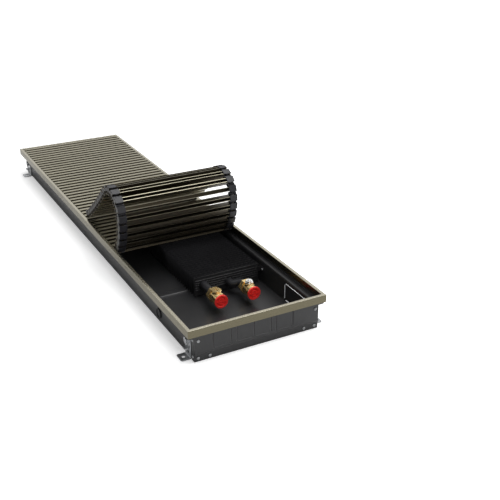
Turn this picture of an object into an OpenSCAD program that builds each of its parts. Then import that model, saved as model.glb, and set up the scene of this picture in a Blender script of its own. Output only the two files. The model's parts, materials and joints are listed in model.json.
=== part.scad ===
/* [Unit] */
// Length over the trim frame
unit_l = 1000; // [900:10:1400]
// Width over the trim frame
unit_w = 252; // [240:2:320]
// Height from the casing's underside to the top of the trim frame
unit_h = 62; // [60:1:90]
// Thickness of the casing's sheet
sheet_t = 1.2; // [1:0.1:1.4]

/* [Casing] */
// From the frame's side to the outside of the casing's side wall
wall_inset = 13.3; // [12:0.1:15]
// From the frame's end to the face of the end plate
end_inset = 3.4; // [3.3:0.1:3.5]
// From the frame's side to the upstand that the frame sits over
upstand_inset = 2.6; // [2.2:0.1:2.8]
// Height of the recessed band along the foot of an end plate
band_h = 12; // [11:0.5:14]
// Height of the joggle above that band
joggle_h = 3.5; // [2:0.5:5]
// Depth of the joggle
joggle_d = 2; // [1.8:0.1:2.4]
// Length of the end plate's flange along the side wall
flange_l = 11.6; // [11:0.1:12]

/* [Knock-outs] */
// Width of a pipe knock-out in an end plate
knockout_w = 31.5; // [26:0.5:32]
// Bridge between an outer knock-out and the inner pair
knockout_bridge = 9.7; // [6:0.1:12]
// Offset of the four end knock-outs from the middle of the unit
knockout_y = -8.5; // [-12:0.5:12]
// Height of the lower edge of the end knock-outs
knockout_z = 18.4; // [18:0.2:22]
// From the top of an end knock-out to the top of the end plate
knockout_top_gap = 10.1; // [9:0.1:14]
// Width of the cut line round a knock-out
slit_w = 1; // [0.8:0.1:1.4]
// Length of the uncut corner of a knock-out
tab_l = 2.5; // [1.5:0.5:4]
// Length of the knock-out in the right side wall
side_knockout_l = 70; // [50:1:80]
// From the top of the side knock-out to the underside of the ledge
side_knockout_gap = 7.7; // [6:0.1:12]
// From the end of the unit to the middle of the side knock-out
side_knockout_x = 75; // [65:1:90]

/* [Trim frame] */
// Thickness of the frame's profile
frame_t = 1.2; // [1:0.1:1.3]
// Width of the frame's top face
lip_w = 6; // [5.8:0.1:7]
// Height of the frame's outer face
outer_leg = 13.5; // [12:0.5:15]
// Height of the frame's inner face
inner_leg = 11; // [9:0.5:13]

/* [Grille] */
// Distance from slat to slat
slat_pitch = 16.2; // [15.8:0.1:18]
// Width of a slat
slat_w = 8; // [7:0.1:8.4]
// Height of a slat
slat_h = 15; // [14:0.5:17]
// Wall of the slat's channel section
slat_t = 1; // [0.8:0.1:1.2]
// From a slat's end to the inside of the frame
slat_side_gap = 0.6; // [0.4:0.1:1]
// From a slat's top down to the chain's hinge line
hinge_drop = 8.5; // [8.2:0.1:9]
// Length of a chain link across the unit
link_w = 15; // [13:0.5:18]
// Thickness of a link's floor, below the slat
link_floor_t = 1.2; // [1:0.1:1.6]
// Length of a link's floor along the chain
link_l = 13.2; // [12.6:0.1:13.4]
// Height of the plug that a link has inside its slat
link_plug_h = 8.5; // [6:0.5:10]
// Radius of a chain knuckle
knuckle_r = 3.4; // [3:0.1:3.5]
// Width of a link's middle knuckle
knuckle_w = 6.4; // [5:0.2:7]
// Radius of a chain pin
pin_r = 1.3; // [1.1:0.1:1.5]

/* [Rolled end of the grille] */
// Turn at each of the two hinges where the chain leaves the frame
lift_turn = 29; // [27:0.5:30]
// Turn at each of the next four hinges
rise_turn = 8.5; // [7:0.5:10]
// Turn at each of the eight hinges of the slope down from the crown
slope_turn = -1; // [-2:0.5:-0.5]
// Turn at the last hinge, which lays the tail's end down
end_turn = -12; // [-16:1:-6]
// Height at which the tail rests above the laid slats
tail_gap = 0.5; // [0.3:0.1:2]

/* [Heat exchanger] */
// From the end of the unit to the exchanger's end sheet
fin_start = 196; // [190:1:210]
// From the far end of the unit to the exchanger
fin_end = 62; // [56:1:90]
// Distance from fin to fin
fin_pitch = 8; // [7:0.5:10]
// Thickness of a fin
fin_t = 0.4; // [0.3:0.05:0.6]
// Width of the exchanger across the unit
fin_w = 130; // [120:1:134]
// From the top of the fins up to the ledges
fin_top_gap = 5.5; // [4:0.5:8]
// From the exchanger to the inside of the right wall
fin_side_gap = 6.5; // [5:0.5:9]
// Thickness of the rails below the fins
rail_t = 1.8; // [1.5:0.1:2.5]
// Width of a rail
rail_w = 16; // [12:1:20]
// From the exchanger's end to the middle of its outermost rail
rail_inset = 36; // [30:1:50]
// Largest distance from rail to rail
rail_spacing = 380; // [300:10:450]
// How far a rail reaches to the left of the fins
rail_reach = 54; // [30:1:60]
// Thickness of the end sheets
end_sheet_t = 1.2; // [1:0.1:1.5]
// Spacing of the ribs pressed into an end sheet
rib_pitch = 4.5; // [4:0.1:5]
// Radius of such a rib
rib_r = 0.9; // [0.6:0.1:1.2]

/* [Water tubes] */
// Radius of a water tube
tube_r = 7.5; // [6:0.5:8]
// Wall of a water tube
tube_t = 1; // [0.8:0.1:1.5]
// From the exchanger's left edge to the flow tube
flow_inset = 17.5; // [16:0.5:20]
// Distance across the unit from the flow tube to the return tube
tube_gap = 50.5; // [44:0.5:54]
// Height of the flow tube's axis above the foot of the fins, as a share of the fins' height
flow_share = 0.58; // [0.55:0.01:0.62]
// Drop from the flow tube's axis to the return tube's axis
return_drop = 5.9; // [3:0.1:7]
// Sideways step of the return tube in front of the fins
return_step = 13.5; // [10:0.5:16]
// Bend radius of that step
step_r = 14; // [12:0.5:16]
// Length of the sockets on the far bend
socket_l = 12; // [8:0.5:14]

/* [Connections] */
// From the end of the unit to the front of the red caps
cap_face = 121.5; // [116:0.5:130]
// Radius of a protective cap
cap_r = 12.5; // [12:0.1:13.5]
// Thickness of a protective cap's disc
cap_disc_t = 3; // [2:0.5:4]
// Length of the cap's spigot inside the connection
spigot_l = 8; // [6:0.5:9]
// Wall of the spigot
spigot_t = 1.6; // [1.2:0.1:2]
// Radius of the bore of a connection, a plain G1/2 core hole
mouth_bore_r = 9.32; // [9.3:0.01:9.4]
// Radius of a connection's mouth
mouth_r = 12; // [11.5:0.1:12.3]
// Length of a connection's mouth
mouth_l = 9.5; // [9:0.5:12]
// Length of the connector's body between its nut and its mouth
connector_l = 18; // [17:0.5:22]
// Radius of the connector's body
connector_r = 11; // [10.8:0.1:11.6]
// Length of the nut on the tube
nut_l = 9; // [8:0.5:10]
// Radius of that nut over its corners
nut_r = 14; // [13:0.1:14]
// Radius of the boss on top of a connector
boss_r = 8; // [7:0.5:8.5]
// Height of that boss above the connector's axis
boss_h = 12.5; // [12.5:0.5:14]
// Radius of the threaded stem in that boss
stem_r = 4.8; // [4:0.1:5.5]
// Length of that stem
stem_l = 6; // [4:0.5:7]
// Radius of the head of the blank plug
plug_r = 8.5; // [8:0.1:9]
// Thickness of the head of the blank plug
plug_t = 2; // [1.5:0.1:3]
// Radius of the air vent's body
vent_r = 6.2; // [5.5:0.1:7]
// Height of the air vent's body
vent_h = 5; // [4:0.5:7]
// Radius of the air vent's spindle
spindle_r = 2.2; // [1.8:0.1:2.6]
// How far the spindle stands above the vent's body
spindle_h = 1.6; // [1:0.1:2.5]

/* [Foot brackets] */
// From the end of the unit to the middle of a foot bracket
bracket_x = 27.5; // [27:0.5:40]
// Width of a foot bracket
bracket_w = 21; // [18:0.5:21]
// Thickness of a foot bracket
bracket_t = 2; // [1.5:0.1:2.5]
// From the top of a foot bracket to the underside of the ledge
bracket_top_gap = 0.8; // [0.5:0.1:3]
// How far a foot plate reaches out from the wall
foot_reach = 18.3; // [16:0.1:24]
// Radius of the floor screw's hole in a foot plate
foot_hole_r = 3.25; // [2.5:0.05:3.5]
// Height of the middle of the bracket's slot, as a share of the bracket's height
slot_share = 0.713; // [0.7:0.001:0.74]
// Length of the bracket's slot
slot_l = 14; // [10:0.5:16]
// Half the width of the bracket's slot
slot_r = 3.2; // [3.1:0.1:3.4]
// Height of the ear below the slot, as a share of the bracket's height
ear_share = 0.368; // [0.35:0.001:0.4]
// Width of the ear
ear_w = 11; // [8:0.5:14]
// How far the ear stands out
ear_reach = 8; // [6:0.5:10]

/* [Fastenings] */
// Radius of a sheet screw's head
screw_head_r = 2.9; // [2.5:0.1:3.2]
// Height of a sheet screw's head
screw_head_h = 1.7; // [1.2:0.1:2.2]
// Radius of a sheet screw's shank
screw_r = 1.5; // [1.2:0.1:1.7]
// Length of a sheet screw's shank
screw_l = 5; // [4:0.5:6]
// Radius of a bracket bolt
bolt_r = 3; // [2.5:0.1:3]
// Radius of a bracket bolt's head over its corners
bolt_head_r = 5.8; // [5:0.1:6.5]
// Height of a bracket bolt's head
bolt_head_h = 4; // [3:0.5:5]
// Radius of the washer under that head
washer_r = 6.5; // [6:0.1:7]
// Radius of the rubber plug's flange
grommet_r = 9.2; // [8:0.1:11]
// Radius of the rubber plug's hole in the left wall
grommet_hole_r = 7.2; // [6:0.1:7.5]
// From the end of the unit to that plug
grommet_x = 148; // [140:1:160]
// Height of that plug
grommet_z = 18; // [17:0.5:22]

/* [Clearances] */
// Radial clearance of a pin, tube or shank in its hole
fit_gap = 0.05; // [0.02:0.01:0.08]
// Gap between pieces that rest on each other
seat_gap = 0.3; // [0.2:0.05:0.4]
// Gap beside the knuckles of the chain
side_gap = 0.3; // [0.2:0.05:0.5]

/* [Hidden] */
// How many hinges of the roll have each turn
lift_hinges = 2;
rise_hinges = 4;
crown_hinges = 6;
slope_hinges = 8;
end_hinges = 1;
roll_count = lift_hinges + rise_hinges + crown_hinges + slope_hinges + end_hinges;
$fn = 48;

// Overrun of every cut past the face that it opens
over = slit_w;

// Least and largest turn at a hinge of the crown, as shares of the first turns
crown_low_share = 0.4;
crown_high_share = 1;
// Distance of the corner screws from the side wall, in screw head radii
corner_screw_share = 1.5;
// Distance of the band's second screw from the corner one, in screw head radii
band_screw_share = 7;
// Distance of the upper screws below the ledge, in screw head radii
plate_screw_share = 2.5;
// Height of the ear's screws as a share of the fin's height
ear_screw_share = 0.7;
// Height of the ribs' middle as a share of the fin's height
rib_share = 0.57;
// Ribs above and below the middle one
rib_side_count = 2;
// Outer and inner radius of the ring recess in a cap's face, as shares of the cap's radius
cap_ring_share = 0.72;
cap_core_share = 0.46;

// Places along the unit, from its middle
end_x = unit_l / 2;
plate_x = end_x - end_inset;
band_x = plate_x - joggle_d;
trough_x = band_x - sheet_t;
half_w = unit_w / 2;
wall_y = half_w - wall_inset;
upstand_y = half_w - upstand_inset;

// Heights of the grille and of what carries it
grille_depth = slat_h + link_floor_t;
ledge_z = unit_h - grille_depth - seat_gap;
under_ledge_z = ledge_z - sheet_t;
upstand_z = unit_h - frame_t - seat_gap;
hinge_z = unit_h - hinge_drop;

// The row of slats, centred in the frame
slat_gap = slat_pitch - slat_w;
slat_room = unit_l - 2 * lip_w - slat_gap / 2;
slat_count = floor((slat_room + slat_gap) / slat_pitch);
laid_count = slat_count - roll_count;
row_x = -(slat_count - 1) * slat_pitch / 2;
roll_x = row_x + (laid_count - 1) * slat_pitch + slat_pitch / 2;
slat_l = unit_w - 2 * lip_w - 2 * slat_side_gap;
link_y = slat_l / 2 - link_w / 2 - slat_side_gap / 2;
link_low = hinge_drop - grille_depth;

// The shape of the roll, with the turn of its crown solved so that the tail rests on the laid slats
solve_steps = 24;
crown_turn = solve_crown(crown_low_share * lift_turn, crown_high_share * lift_turn, solve_steps);
function two_digits(i) = i < 10 ? str("0", i) : str(i);
function roll_turns(crown) = concat(
  [for (i = [1:lift_hinges]) lift_turn],
  [for (i = [1:rise_hinges]) rise_turn],
  [for (i = [1:crown_hinges]) crown],
  [for (i = [1:slope_hinges]) slope_turn],
  [for (i = [1:end_hinges]) end_turn]);
function sum_to(list, n) = n == 0 ? 0 : list[n - 1] + sum_to(list, n - 1);
function headings(crown) = [for (i = [1:roll_count]) sum_to(roll_turns(crown), i)];
function hinge_at(heads, i) = i == 1 ? [roll_x, hinge_z]
  : hinge_at(heads, i - 1) + slat_pitch * [cos(heads[i - 2]), sin(heads[i - 2])];
function slat_at(heads, i) = (hinge_at(heads, i) + hinge_at(heads, i + 1)) / 2;
function tail_low(crown) = let (heads = headings(crown), last = heads[roll_count - 1])
  slat_at(heads, roll_count)[1] + hinge_drop * cos(last) - slat_w / 2 * abs(sin(last));
function solve_crown(low, high, steps) = let (middle = (low + high) / 2)
  steps == 0 ? middle
  : tail_low(middle) > unit_h + tail_gap ? solve_crown(middle, high, steps - 1)
  : solve_crown(low, middle, steps - 1);
roll_heads = headings(crown_turn);

// The exchanger
fin_x1 = end_x - fin_start;
fin_x0 = -end_x + fin_end;
fin_y1 = wall_y - sheet_t - fin_side_gap;
fin_y0 = fin_y1 - fin_w;
fin_z0 = sheet_t + rail_t;
fin_h = ledge_z - fin_top_gap - fin_z0;
fin_x_first = fin_x1 - end_sheet_t - fin_pitch / 2;
fin_count = floor((fin_x_first - fin_x0 - end_sheet_t) / fin_pitch);
flow_y = fin_y0 + flow_inset;
flow_z = fin_z0 + flow_share * fin_h;
return_y = flow_y + tube_gap;
return_z = flow_z - return_drop;
bend_r = norm([tube_gap, return_drop]) / 2;
bend_x = fin_x0 - rib_r - socket_l - seat_gap;
bend_tilt = atan2(-return_drop, tube_gap);
rail_span = fin_x1 - fin_x0 - 2 * rail_inset;
rail_gaps = ceil(rail_span / rail_spacing);
rail_xs = [for (i = [0:rail_gaps]) fin_x1 - rail_inset - i * rail_span / rail_gaps];

// The step in front of the fins that lines the return tube up with its connector
step_d = norm([return_step, return_drop]);
step_angle = acos(1 - step_d / (2 * step_r));
step_l = 2 * step_r * sin(step_angle);
step_tilt = atan2(return_drop, return_step);
step_x = fin_x1 + tube_r;

// The connectors, from the caps' faces back to the nuts
cap_x = end_x - cap_face;
mouth_x = cap_x - cap_disc_t - seat_gap;
body_x = mouth_x - mouth_l;
nut_x = body_x - connector_l;
boss_x = body_x - connector_l / 2;
boss_y = [flow_y, return_y + return_step];

// Screws: height and place of each one
corner_screw_y = wall_y - sheet_t - corner_screw_share * screw_head_r;
band_screw_y = corner_screw_y - band_screw_share * screw_head_r;
band_screw_z = band_h / 2;
plate_screw_z = ledge_z - plate_screw_share * screw_head_r;

// The foot brackets' heights
bracket_h = under_ledge_z - bracket_top_gap;
slot_z = slot_share * bracket_h;
ear_z = ear_share * bracket_h;

// Places of the screws in the side flanges and ears
flange_x = plate_x - sheet_t - flange_l / 2;
flange_screw_zs = [band_h - screw_head_r - sheet_t, plate_screw_z];
sheet_screw_z = fin_z0 + ear_screw_share * fin_h;

// A box from one corner to the opposite one
module box(low, high) {
  translate(low) cube(high - low);
}

// A cylinder along +X, +Y or +Z from a point
module rod_x(at, r, l) {
  translate(at) rotate([0, 90, 0]) cylinder(h = l, r = r);
}
module rod_y(at, r, l) {
  translate(at) rotate([-90, 0, 0]) cylinder(h = l, r = r);
}
module rod_z(at, r, l) {
  translate(at) cylinder(h = l, r = r);
}

// The same shape at both ends, or on both sides
module both_ends() {
  children();
  mirror([1, 0, 0]) children();
}
module both_sides() {
  children();
  mirror([0, 1, 0]) children();
}

// A length of sheet along the casing, from one corner of its section to the opposite one
module casing_strip(low, high) {
  box([-trough_x, low[0], low[1]], [trough_x, high[0], high[1]]);
}

// The casing: floor, walls, ledges and upstands, with a seam at each bend of the sheet
module trough() {
  w0 = wall_y - sheet_t;
  color("#1c1c1e") difference() {
    union() {
      casing_strip([fit_gap - w0, 0], [w0 - fit_gap, sheet_t]);
      both_sides() {
        casing_strip([w0, 0], [wall_y, under_ledge_z - fit_gap]);
        casing_strip([w0, under_ledge_z], [upstand_y, ledge_z]);
        casing_strip([upstand_y - sheet_t, ledge_z + fit_gap], [upstand_y, upstand_z]);
      }
      both_ends() {
        floor_flange();
        both_sides() wall_end_tab();
      }
    }
    both_ends() plate_screw_holes();
    side_knockout();
    rod_y([end_x - grommet_x, -wall_y - over, grommet_z], grommet_hole_r, sheet_t + 2 * over);
    both_sides() both_ends() bracket_hole();
    sheet_screw_holes();
  }
}

// The floor's end, turned up behind the band of the end plate
module floor_flange() {
  flange_y = wall_y - sheet_t - sheet_t;
  box([trough_x - sheet_t, -flange_y, sheet_t + fit_gap], [trough_x, flange_y, band_h - sheet_t]);
}

// The end of a side wall, turned in behind the end plate
module wall_end_tab() {
  tab_x = plate_x - sheet_t;
  z0 = band_h + joggle_h + 2 * sheet_t;
  z1 = under_ledge_z - fit_gap;
  box([trough_x + fit_gap, wall_y - sheet_t, z0], [tab_x, wall_y, z1]);
  box([tab_x - sheet_t, wall_y - flange_l, z0], [tab_x, wall_y, z1]);
}

// A slit outline that leaves the corners of a knock-out uncut, in a wall that faces Y
module side_knockout() {
  x0 = end_x - side_knockout_x - side_knockout_l / 2;
  x1 = x0 + side_knockout_l;
  z0 = 3 * sheet_t;
  z1 = under_ledge_z - side_knockout_gap;
  y0 = wall_y - sheet_t - over;
  y1 = wall_y + over;
  box([x0, y0, z0 + tab_l], [x0 + slit_w, y1, z1 - tab_l]);
  box([x1 - slit_w, y0, z0 + tab_l], [x1, y1, z1 - tab_l]);
  box([x0 + tab_l, y0, z0], [x1 - tab_l, y1, z0 + slit_w]);
  box([x0 + tab_l, y0, z1 - slit_w], [x1 - tab_l, y1, z1]);
}

// The end plate at +X: face, joggle, band, ears over the ledges and side flanges
module end_plate() {
  x1 = plate_x;
  x0 = plate_x - sheet_t;
  step_z = band_h + joggle_h;
  difference() {
    union() {
      rotate([90, 0, 0]) translate([0, 0, -wall_y]) linear_extrude(2 * wall_y) polygon([
        [x1, upstand_z], [x1, step_z], [band_x, band_h], [band_x, seat_gap],
        [band_x - sheet_t, seat_gap], [band_x - sheet_t, band_h], [x0, step_z], [x0, upstand_z]]);
      box([x0, -upstand_y, under_ledge_z], [x1, upstand_y, upstand_z]);
      both_sides() side_flange(step_z);
    }
    plate_screw_holes();
    knockout_slits();
  }
}

// A flange of the end plate along the side wall, with a seam at its bend
module side_flange(step_z) {
  y0 = wall_y + fit_gap;
  y1 = wall_y + sheet_t;
  box([plate_x - flange_l, y0, step_z], [plate_x, y1, under_ledge_z - sheet_t]);
  box([plate_x - flange_l, y0, seat_gap], [band_x, y1, step_z]);
}

// The cut lines round the four knock-outs, the middle two of which share one
module knockout_slits() {
  inner = knockout_w;
  next = inner + knockout_bridge;
  outer = next + knockout_w;
  lines = [-outer, -next, -inner, 0, inner, next, outer];
  starts = [-outer, -inner, 0, next];
  x0 = plate_x - sheet_t - over;
  x1 = plate_x + over;
  z1 = upstand_z - knockout_top_gap;
  for (y = lines)
    box([x0, knockout_y + y - slit_w / 2, knockout_z], [x1, knockout_y + y + slit_w / 2, z1]);
  for (y = starts)
    box([x0, knockout_y + y + tab_l, knockout_z],
        [x1, knockout_y + y + knockout_w - tab_l, knockout_z + slit_w]);
}

module end_plates() {
  color("#202022") both_ends() end_plate();
}

// One bar of the frame along +Y side, an inverted channel with mitred ends
module frame_bar(length, across) {
  rotate([90, 0, 90]) translate([0, 0, -length / 2]) linear_extrude(length) polygon([
    [across, unit_h], [across - lip_w, unit_h], [across - lip_w, unit_h - inner_leg],
    [across - lip_w + frame_t, unit_h - inner_leg], [across - lip_w + frame_t, unit_h - frame_t],
    [across - frame_t, unit_h - frame_t], [across - frame_t, unit_h - outer_leg],
    [across, unit_h - outer_leg]]);
}

// A wedge that cuts a bar's end at 45 degrees, over the frame's corner at +X +Y
module mitre_wedge(corner_x, corner_y) {
  reach = 2 * lip_w;
  translate([corner_x - fit_gap, corner_y + fit_gap, unit_h - outer_leg - over])
    linear_extrude(outer_leg + 2 * over)
      polygon([[reach, reach], [-reach, -reach], [reach, -reach]]);
}

module frame_bars() {
  color("#a59f8c") {
    both_sides() difference() {
      frame_bar(unit_l, half_w);
      both_ends() mitre_wedge(end_x, half_w);
    }
    both_ends() rotate([0, 0, -90]) difference() {
      frame_bar(unit_w, end_x);
      both_ends() mitre_wedge(half_w, end_x);
    }
  }
}

// A slat at the chain's origin: its middle, on the hinge line, with the slat's top at +Z
module slat() {
  top = hinge_drop;
  low = hinge_drop - slat_h;
  rotate([90, 0, 0]) translate([0, 0, -slat_l / 2]) linear_extrude(slat_l) polygon([
    [-slat_w / 2, low], [-slat_w / 2, top], [slat_w / 2, top], [slat_w / 2, low],
    [slat_w / 2 - slat_t, low], [slat_w / 2 - slat_t, top - slat_t],
    [-slat_w / 2 + slat_t, top - slat_t], [-slat_w / 2 + slat_t, low]]);
}

// A chain link at the same origin: floor, plug, a middle knuckle behind and a fork with its pin ahead.
// The chain's first links have no knuckle and its last ones no fork.
module link(knuckle = true, pin = true) {
  floor_top = link_low + link_floor_t;
  plug = slat_w / 2 - slat_t - 2 * fit_gap;
  web0 = slat_w / 2 + 2 * fit_gap;
  web1 = link_l / 2;
  mid = knuckle_w / 2;
  fork = mid + side_gap;
  hinge = slat_pitch / 2;
  box([-web1, -link_w / 2, link_low], [web1, link_w / 2, floor_top]);
  box([-plug, -link_w / 2, link_low], [plug, link_w / 2, floor_top + link_plug_h]);
  if (knuckle) {
    box([-web1, -mid, link_low], [-web0, mid, 0]);
    difference() {
      rod_y([-hinge, -mid, 0], knuckle_r, 2 * mid);
      rod_y([-hinge, -mid - over, 0], pin_r + fit_gap, 2 * mid + 2 * over);
    }
  }
  if (pin) {
    both_sides() {
      box([web0, fork, link_low], [web1, link_w / 2, 0]);
      rod_y([hinge, fork, 0], knuckle_r, link_w / 2 - fork);
    }
    rod_y([hinge, -link_w / 2, 0], pin_r, link_w);
  }
}

module link_pair(knuckle = true, pin = true) {
  for (side = [-1, 1]) translate([0, side * link_y, 0]) link(knuckle, pin);
}

module laid_slats() {
  color("#b9b3a1") for (i = [0:laid_count - 1]) translate([row_x + i * slat_pitch, 0, hinge_z]) slat();
}

module laid_links() {
  color("#2b2c30") for (i = [0:laid_count - 1]) translate([row_x + i * slat_pitch, 0, hinge_z])
    link_pair(knuckle = i > 0);
}

// Puts a piece of the chain at the roll's slat i
module on_roll(i) {
  at = slat_at(roll_heads, i);
  translate([at[0], 0, at[1]]) rotate([0, -roll_heads[i - 1], 0]) children();
}

module roll_slat(i) {
  color("#b9b3a1") on_roll(i) slat();
}

module roll_links(i) {
  color("#2b2c30") on_roll(i) link_pair(pin = i < roll_count);
}

// The fins, pressed on the two tubes
module fin_pack() {
  color("#232325") for (i = [0:fin_count - 1])
    translate([fin_x_first - i * fin_pitch - fin_t, 0, 0]) rotate([90, 0, 90])
      linear_extrude(fin_t) difference() {
        translate([fin_y0, fin_z0]) square([fin_w, fin_h]);
        translate([flow_y, flow_z]) circle(tube_r + fit_gap);
        translate([return_y, return_z]) circle(tube_r + fit_gap);
      }
}

// The sheets that close the fin pack, each with pressed ribs and an ear screwed to the right wall
module end_sheet() {
  ear_x = rail_w + 2 * screw_head_r;
  wall_in = wall_y - sheet_t;
  difference() {
    union() {
      box([fin_x1 - end_sheet_t, fin_y0, fin_z0], [fin_x1, fin_y1, fin_z0 + fin_h]);
      for (i = [-rib_side_count:rib_side_count])
        rod_y([fin_x1, fin_y0 + 2 * rib_r, fin_z0 + rib_share * fin_h + i * rib_pitch], rib_r,
              fin_w - 4 * rib_r);
      box([fin_x1 - end_sheet_t, fin_y1 - over, sheet_screw_z - rib_pitch],
          [fin_x1, wall_in, sheet_screw_z + rib_pitch]);
      box([fin_x1 - ear_x, wall_in - end_sheet_t, sheet_screw_z - rib_pitch],
          [fin_x1 + ear_x / 2, wall_in, sheet_screw_z + rib_pitch]);
    }
    for (at = [[flow_y, flow_z], [return_y, return_z]])
      rod_x([fin_x1 - over - end_sheet_t, at[0], at[1]], tube_r + fit_gap, 2 * over + end_sheet_t + rib_r);
    sheet_screw_holes();
  }
}

module end_sheets() {
  color("#1f1f21") {
    end_sheet();
    translate([fin_x0 + fin_x1, 0, 0]) mirror([1, 0, 0]) end_sheet();
  }
}

// Flat rails on the floor that carry the fins
module rails() {
  color("#2a2a2c") for (x = rail_xs)
    box([x - rail_w / 2, fin_y0 - rail_reach, sheet_t], [x + rail_w / 2, fin_y1, fin_z0]);
}

// The section of a water tube
module tube_ring() {
  difference() {
    circle(tube_r);
    circle(tube_r - tube_t);
  }
}

// A straight length of tube along +X, from one place to the other less the brazed seam at each end
module tube_straight(from, to) {
  translate(from + [fit_gap, 0, 0]) rotate([90, 0, 90])
    linear_extrude(to - from[0] - 2 * fit_gap) tube_ring();
}

// A bend in the XY plane, whose first end lies on +X of its centre
module tube_bend(bend_radius, turn) {
  rotate_extrude(angle = turn) translate([bend_radius, 0]) tube_ring();
}

// The socket round the end of a tube that the far bend is brazed into
module tube_socket(y, z) {
  translate([bend_x, y, z]) rotate([90, 0, 90]) linear_extrude(socket_l) difference() {
    circle(tube_r + fit_gap + tube_t);
    circle(tube_r + fit_gap);
  }
}

// The flow and return tubes, the bend that joins them at the far end, and the step to the connector
module tubes() {
  seam_angle = fit_gap / step_r * 180 / PI;
  bend_seam = fit_gap / bend_r * 180 / PI;
  color("#1a1a1b") {
    tube_straight([bend_x, flow_y, flow_z], nut_x);
    tube_straight([bend_x, return_y, return_z], step_x);
    translate([bend_x, (flow_y + return_y) / 2, (flow_z + return_z) / 2]) rotate([bend_tilt, 0, 0])
      rotate([0, 0, 90 + bend_seam]) tube_bend(bend_r, 180 - 2 * bend_seam);
    tube_socket(flow_y, flow_z);
    tube_socket(return_y, return_z);
    translate([step_x, return_y, return_z]) rotate([step_tilt, 0, 0]) {
      translate([0, step_r, 0]) rotate([0, 0, -90]) tube_bend(step_r, step_angle - seam_angle);
      translate([step_l, step_d - step_r, 0]) rotate([0, 0, 90]) tube_bend(step_r, step_angle - seam_angle);
    }
    tube_straight([step_x + step_l, return_y + return_step, flow_z], nut_x);
  }
}

// A brass connector: nut, body, mouth and the boss on top
module connector(y) {
  difference() {
    union() {
      translate([nut_x - nut_l / 2, y, flow_z]) rotate([0, 90, 0]) rotate([0, 0, 30])
        cylinder(h = nut_l, r = nut_r, $fn = 6);
      rod_x([nut_x + nut_l / 2 - over, y, flow_z], connector_r, connector_l - nut_l / 2 + over);
      rod_x([body_x - over, y, flow_z], mouth_r, mouth_l + over);
      rod_z([boss_x + nut_l / 4, y, flow_z], boss_r, boss_h);
    }
    rod_x([nut_x - nut_l / 2 - over, y, flow_z], tube_r + fit_gap, nut_l + over);
    rod_x([nut_x - over, y, flow_z], tube_r - tube_t, connector_l + mouth_l);
    rod_x([body_x, y, flow_z], mouth_bore_r, mouth_l + over);
    rod_z([boss_x + nut_l / 4, y, flow_z + boss_h - stem_l], stem_r + fit_gap, stem_l + over);
  }
}

module connectors() {
  color("#b08d3c") for (y = boss_y) connector(y);
}

// The blank plug on the flow connector, with a slot across its head
module blank_plug() {
  z = flow_z + boss_h;
  color("#b3913f") translate([boss_x + nut_l / 4, flow_y, z]) difference() {
    union() {
      rod_z([0, 0, seat_gap - stem_l], stem_r, stem_l + plug_t / 2);
      rod_z([0, 0, 0], plug_r, plug_t);
    }
    box([-plug_r / 2, -slit_w, plug_t / 2], [plug_r / 2, slit_w, plug_t + over]);
  }
}

// The air vent on the return connector
module vent_body() {
  z = flow_z + boss_h;
  color("#c9cbd0") translate([boss_x + nut_l / 4, boss_y[1], z]) difference() {
    union() {
      rod_z([0, 0, seat_gap - stem_l], stem_r, stem_l + vent_h / 2);
      cylinder(h = vent_h / 2, r = boss_r, $fn = 6);
      rod_z([0, 0, vent_h / 2 - fit_gap], vent_r, vent_h / 2 + fit_gap);
    }
    rod_z([0, 0, vent_h / 4], spindle_r + fit_gap, vent_h + over);
  }
}

module vent_spindle() {
  z = flow_z + boss_h + vent_h / 4 + fit_gap;
  color("#d6d8dc") translate([boss_x + nut_l / 4, boss_y[1], z]) difference() {
    rod_z([0, 0, 0], spindle_r, vent_h - vent_h / 4 + spindle_h);
    box([-over - spindle_r, -slit_w / 2, vent_h - vent_h / 4 + spindle_h / 2],
        [over + spindle_r, slit_w / 2, vent_h + spindle_h + over]);
  }
}

// A protective cap: a disc with a ring recess in its face, and a hollow spigot in the connection's mouth
module cap(y) {
  spigot_r = mouth_bore_r - fit_gap;
  color("#d8231c") translate([cap_x, y, flow_z]) rotate([0, -90, 0]) difference() {
    union() {
      rod_z([0, 0, 0], cap_r, cap_disc_t);
      rod_z([0, 0, cap_disc_t / 2], spigot_r, cap_disc_t / 2 + seat_gap + spigot_l);
    }
    rod_z([0, 0, cap_disc_t], spigot_r - spigot_t, spigot_l + over);
    difference() {
      rod_z([0, 0, -over], cap_ring_share * cap_r, over + cap_disc_t / 2);
      rod_z([0, 0, -2 * over], cap_core_share * cap_r, 4 * over);
    }
  }
}

module cap_flow() {
  cap(boss_y[0]);
}

module cap_return() {
  cap(boss_y[1]);
}

// A foot bracket against the wall at +X +Y: strip, foot plate, slot, ear and floor hole
module foot_bracket() {
  x = end_x - bracket_x;
  x0 = x - bracket_w / 2;
  x1 = x + bracket_w / 2;
  y1 = wall_y + bracket_t;
  foot_y = wall_y + foot_reach / 2 + bracket_t / 2;
  difference() {
    union() {
      box([x0, wall_y, 0], [x1, y1, bracket_h]);
      box([x0, wall_y, 0], [x1, wall_y + foot_reach, bracket_t]);
      box([x - ear_w / 2, wall_y, ear_z], [x + ear_w / 2, y1 + ear_reach, ear_z + bracket_t]);
    }
    for (z = [slot_z - slot_l / 2 + slot_r, slot_z + slot_l / 2 - slot_r])
      rod_y([x, wall_y - over, z], slot_r, bracket_t + 2 * over);
    box([x - slot_r, wall_y - over, slot_z - slot_l / 2 + slot_r],
        [x + slot_r, y1 + over, slot_z + slot_l / 2 - slot_r]);
    rod_y([x, wall_y - over, ear_z / 2 + bracket_t / 2], foot_hole_r - fit_gap, bracket_t + 2 * over);
    rod_z([x, foot_y, -over], foot_hole_r, bracket_t + 2 * over);
  }
}

module bracket_hole() {
  rod_y([end_x - bracket_x, wall_y - sheet_t - over, slot_z], bolt_r + fit_gap, sheet_t + 2 * over);
}

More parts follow.
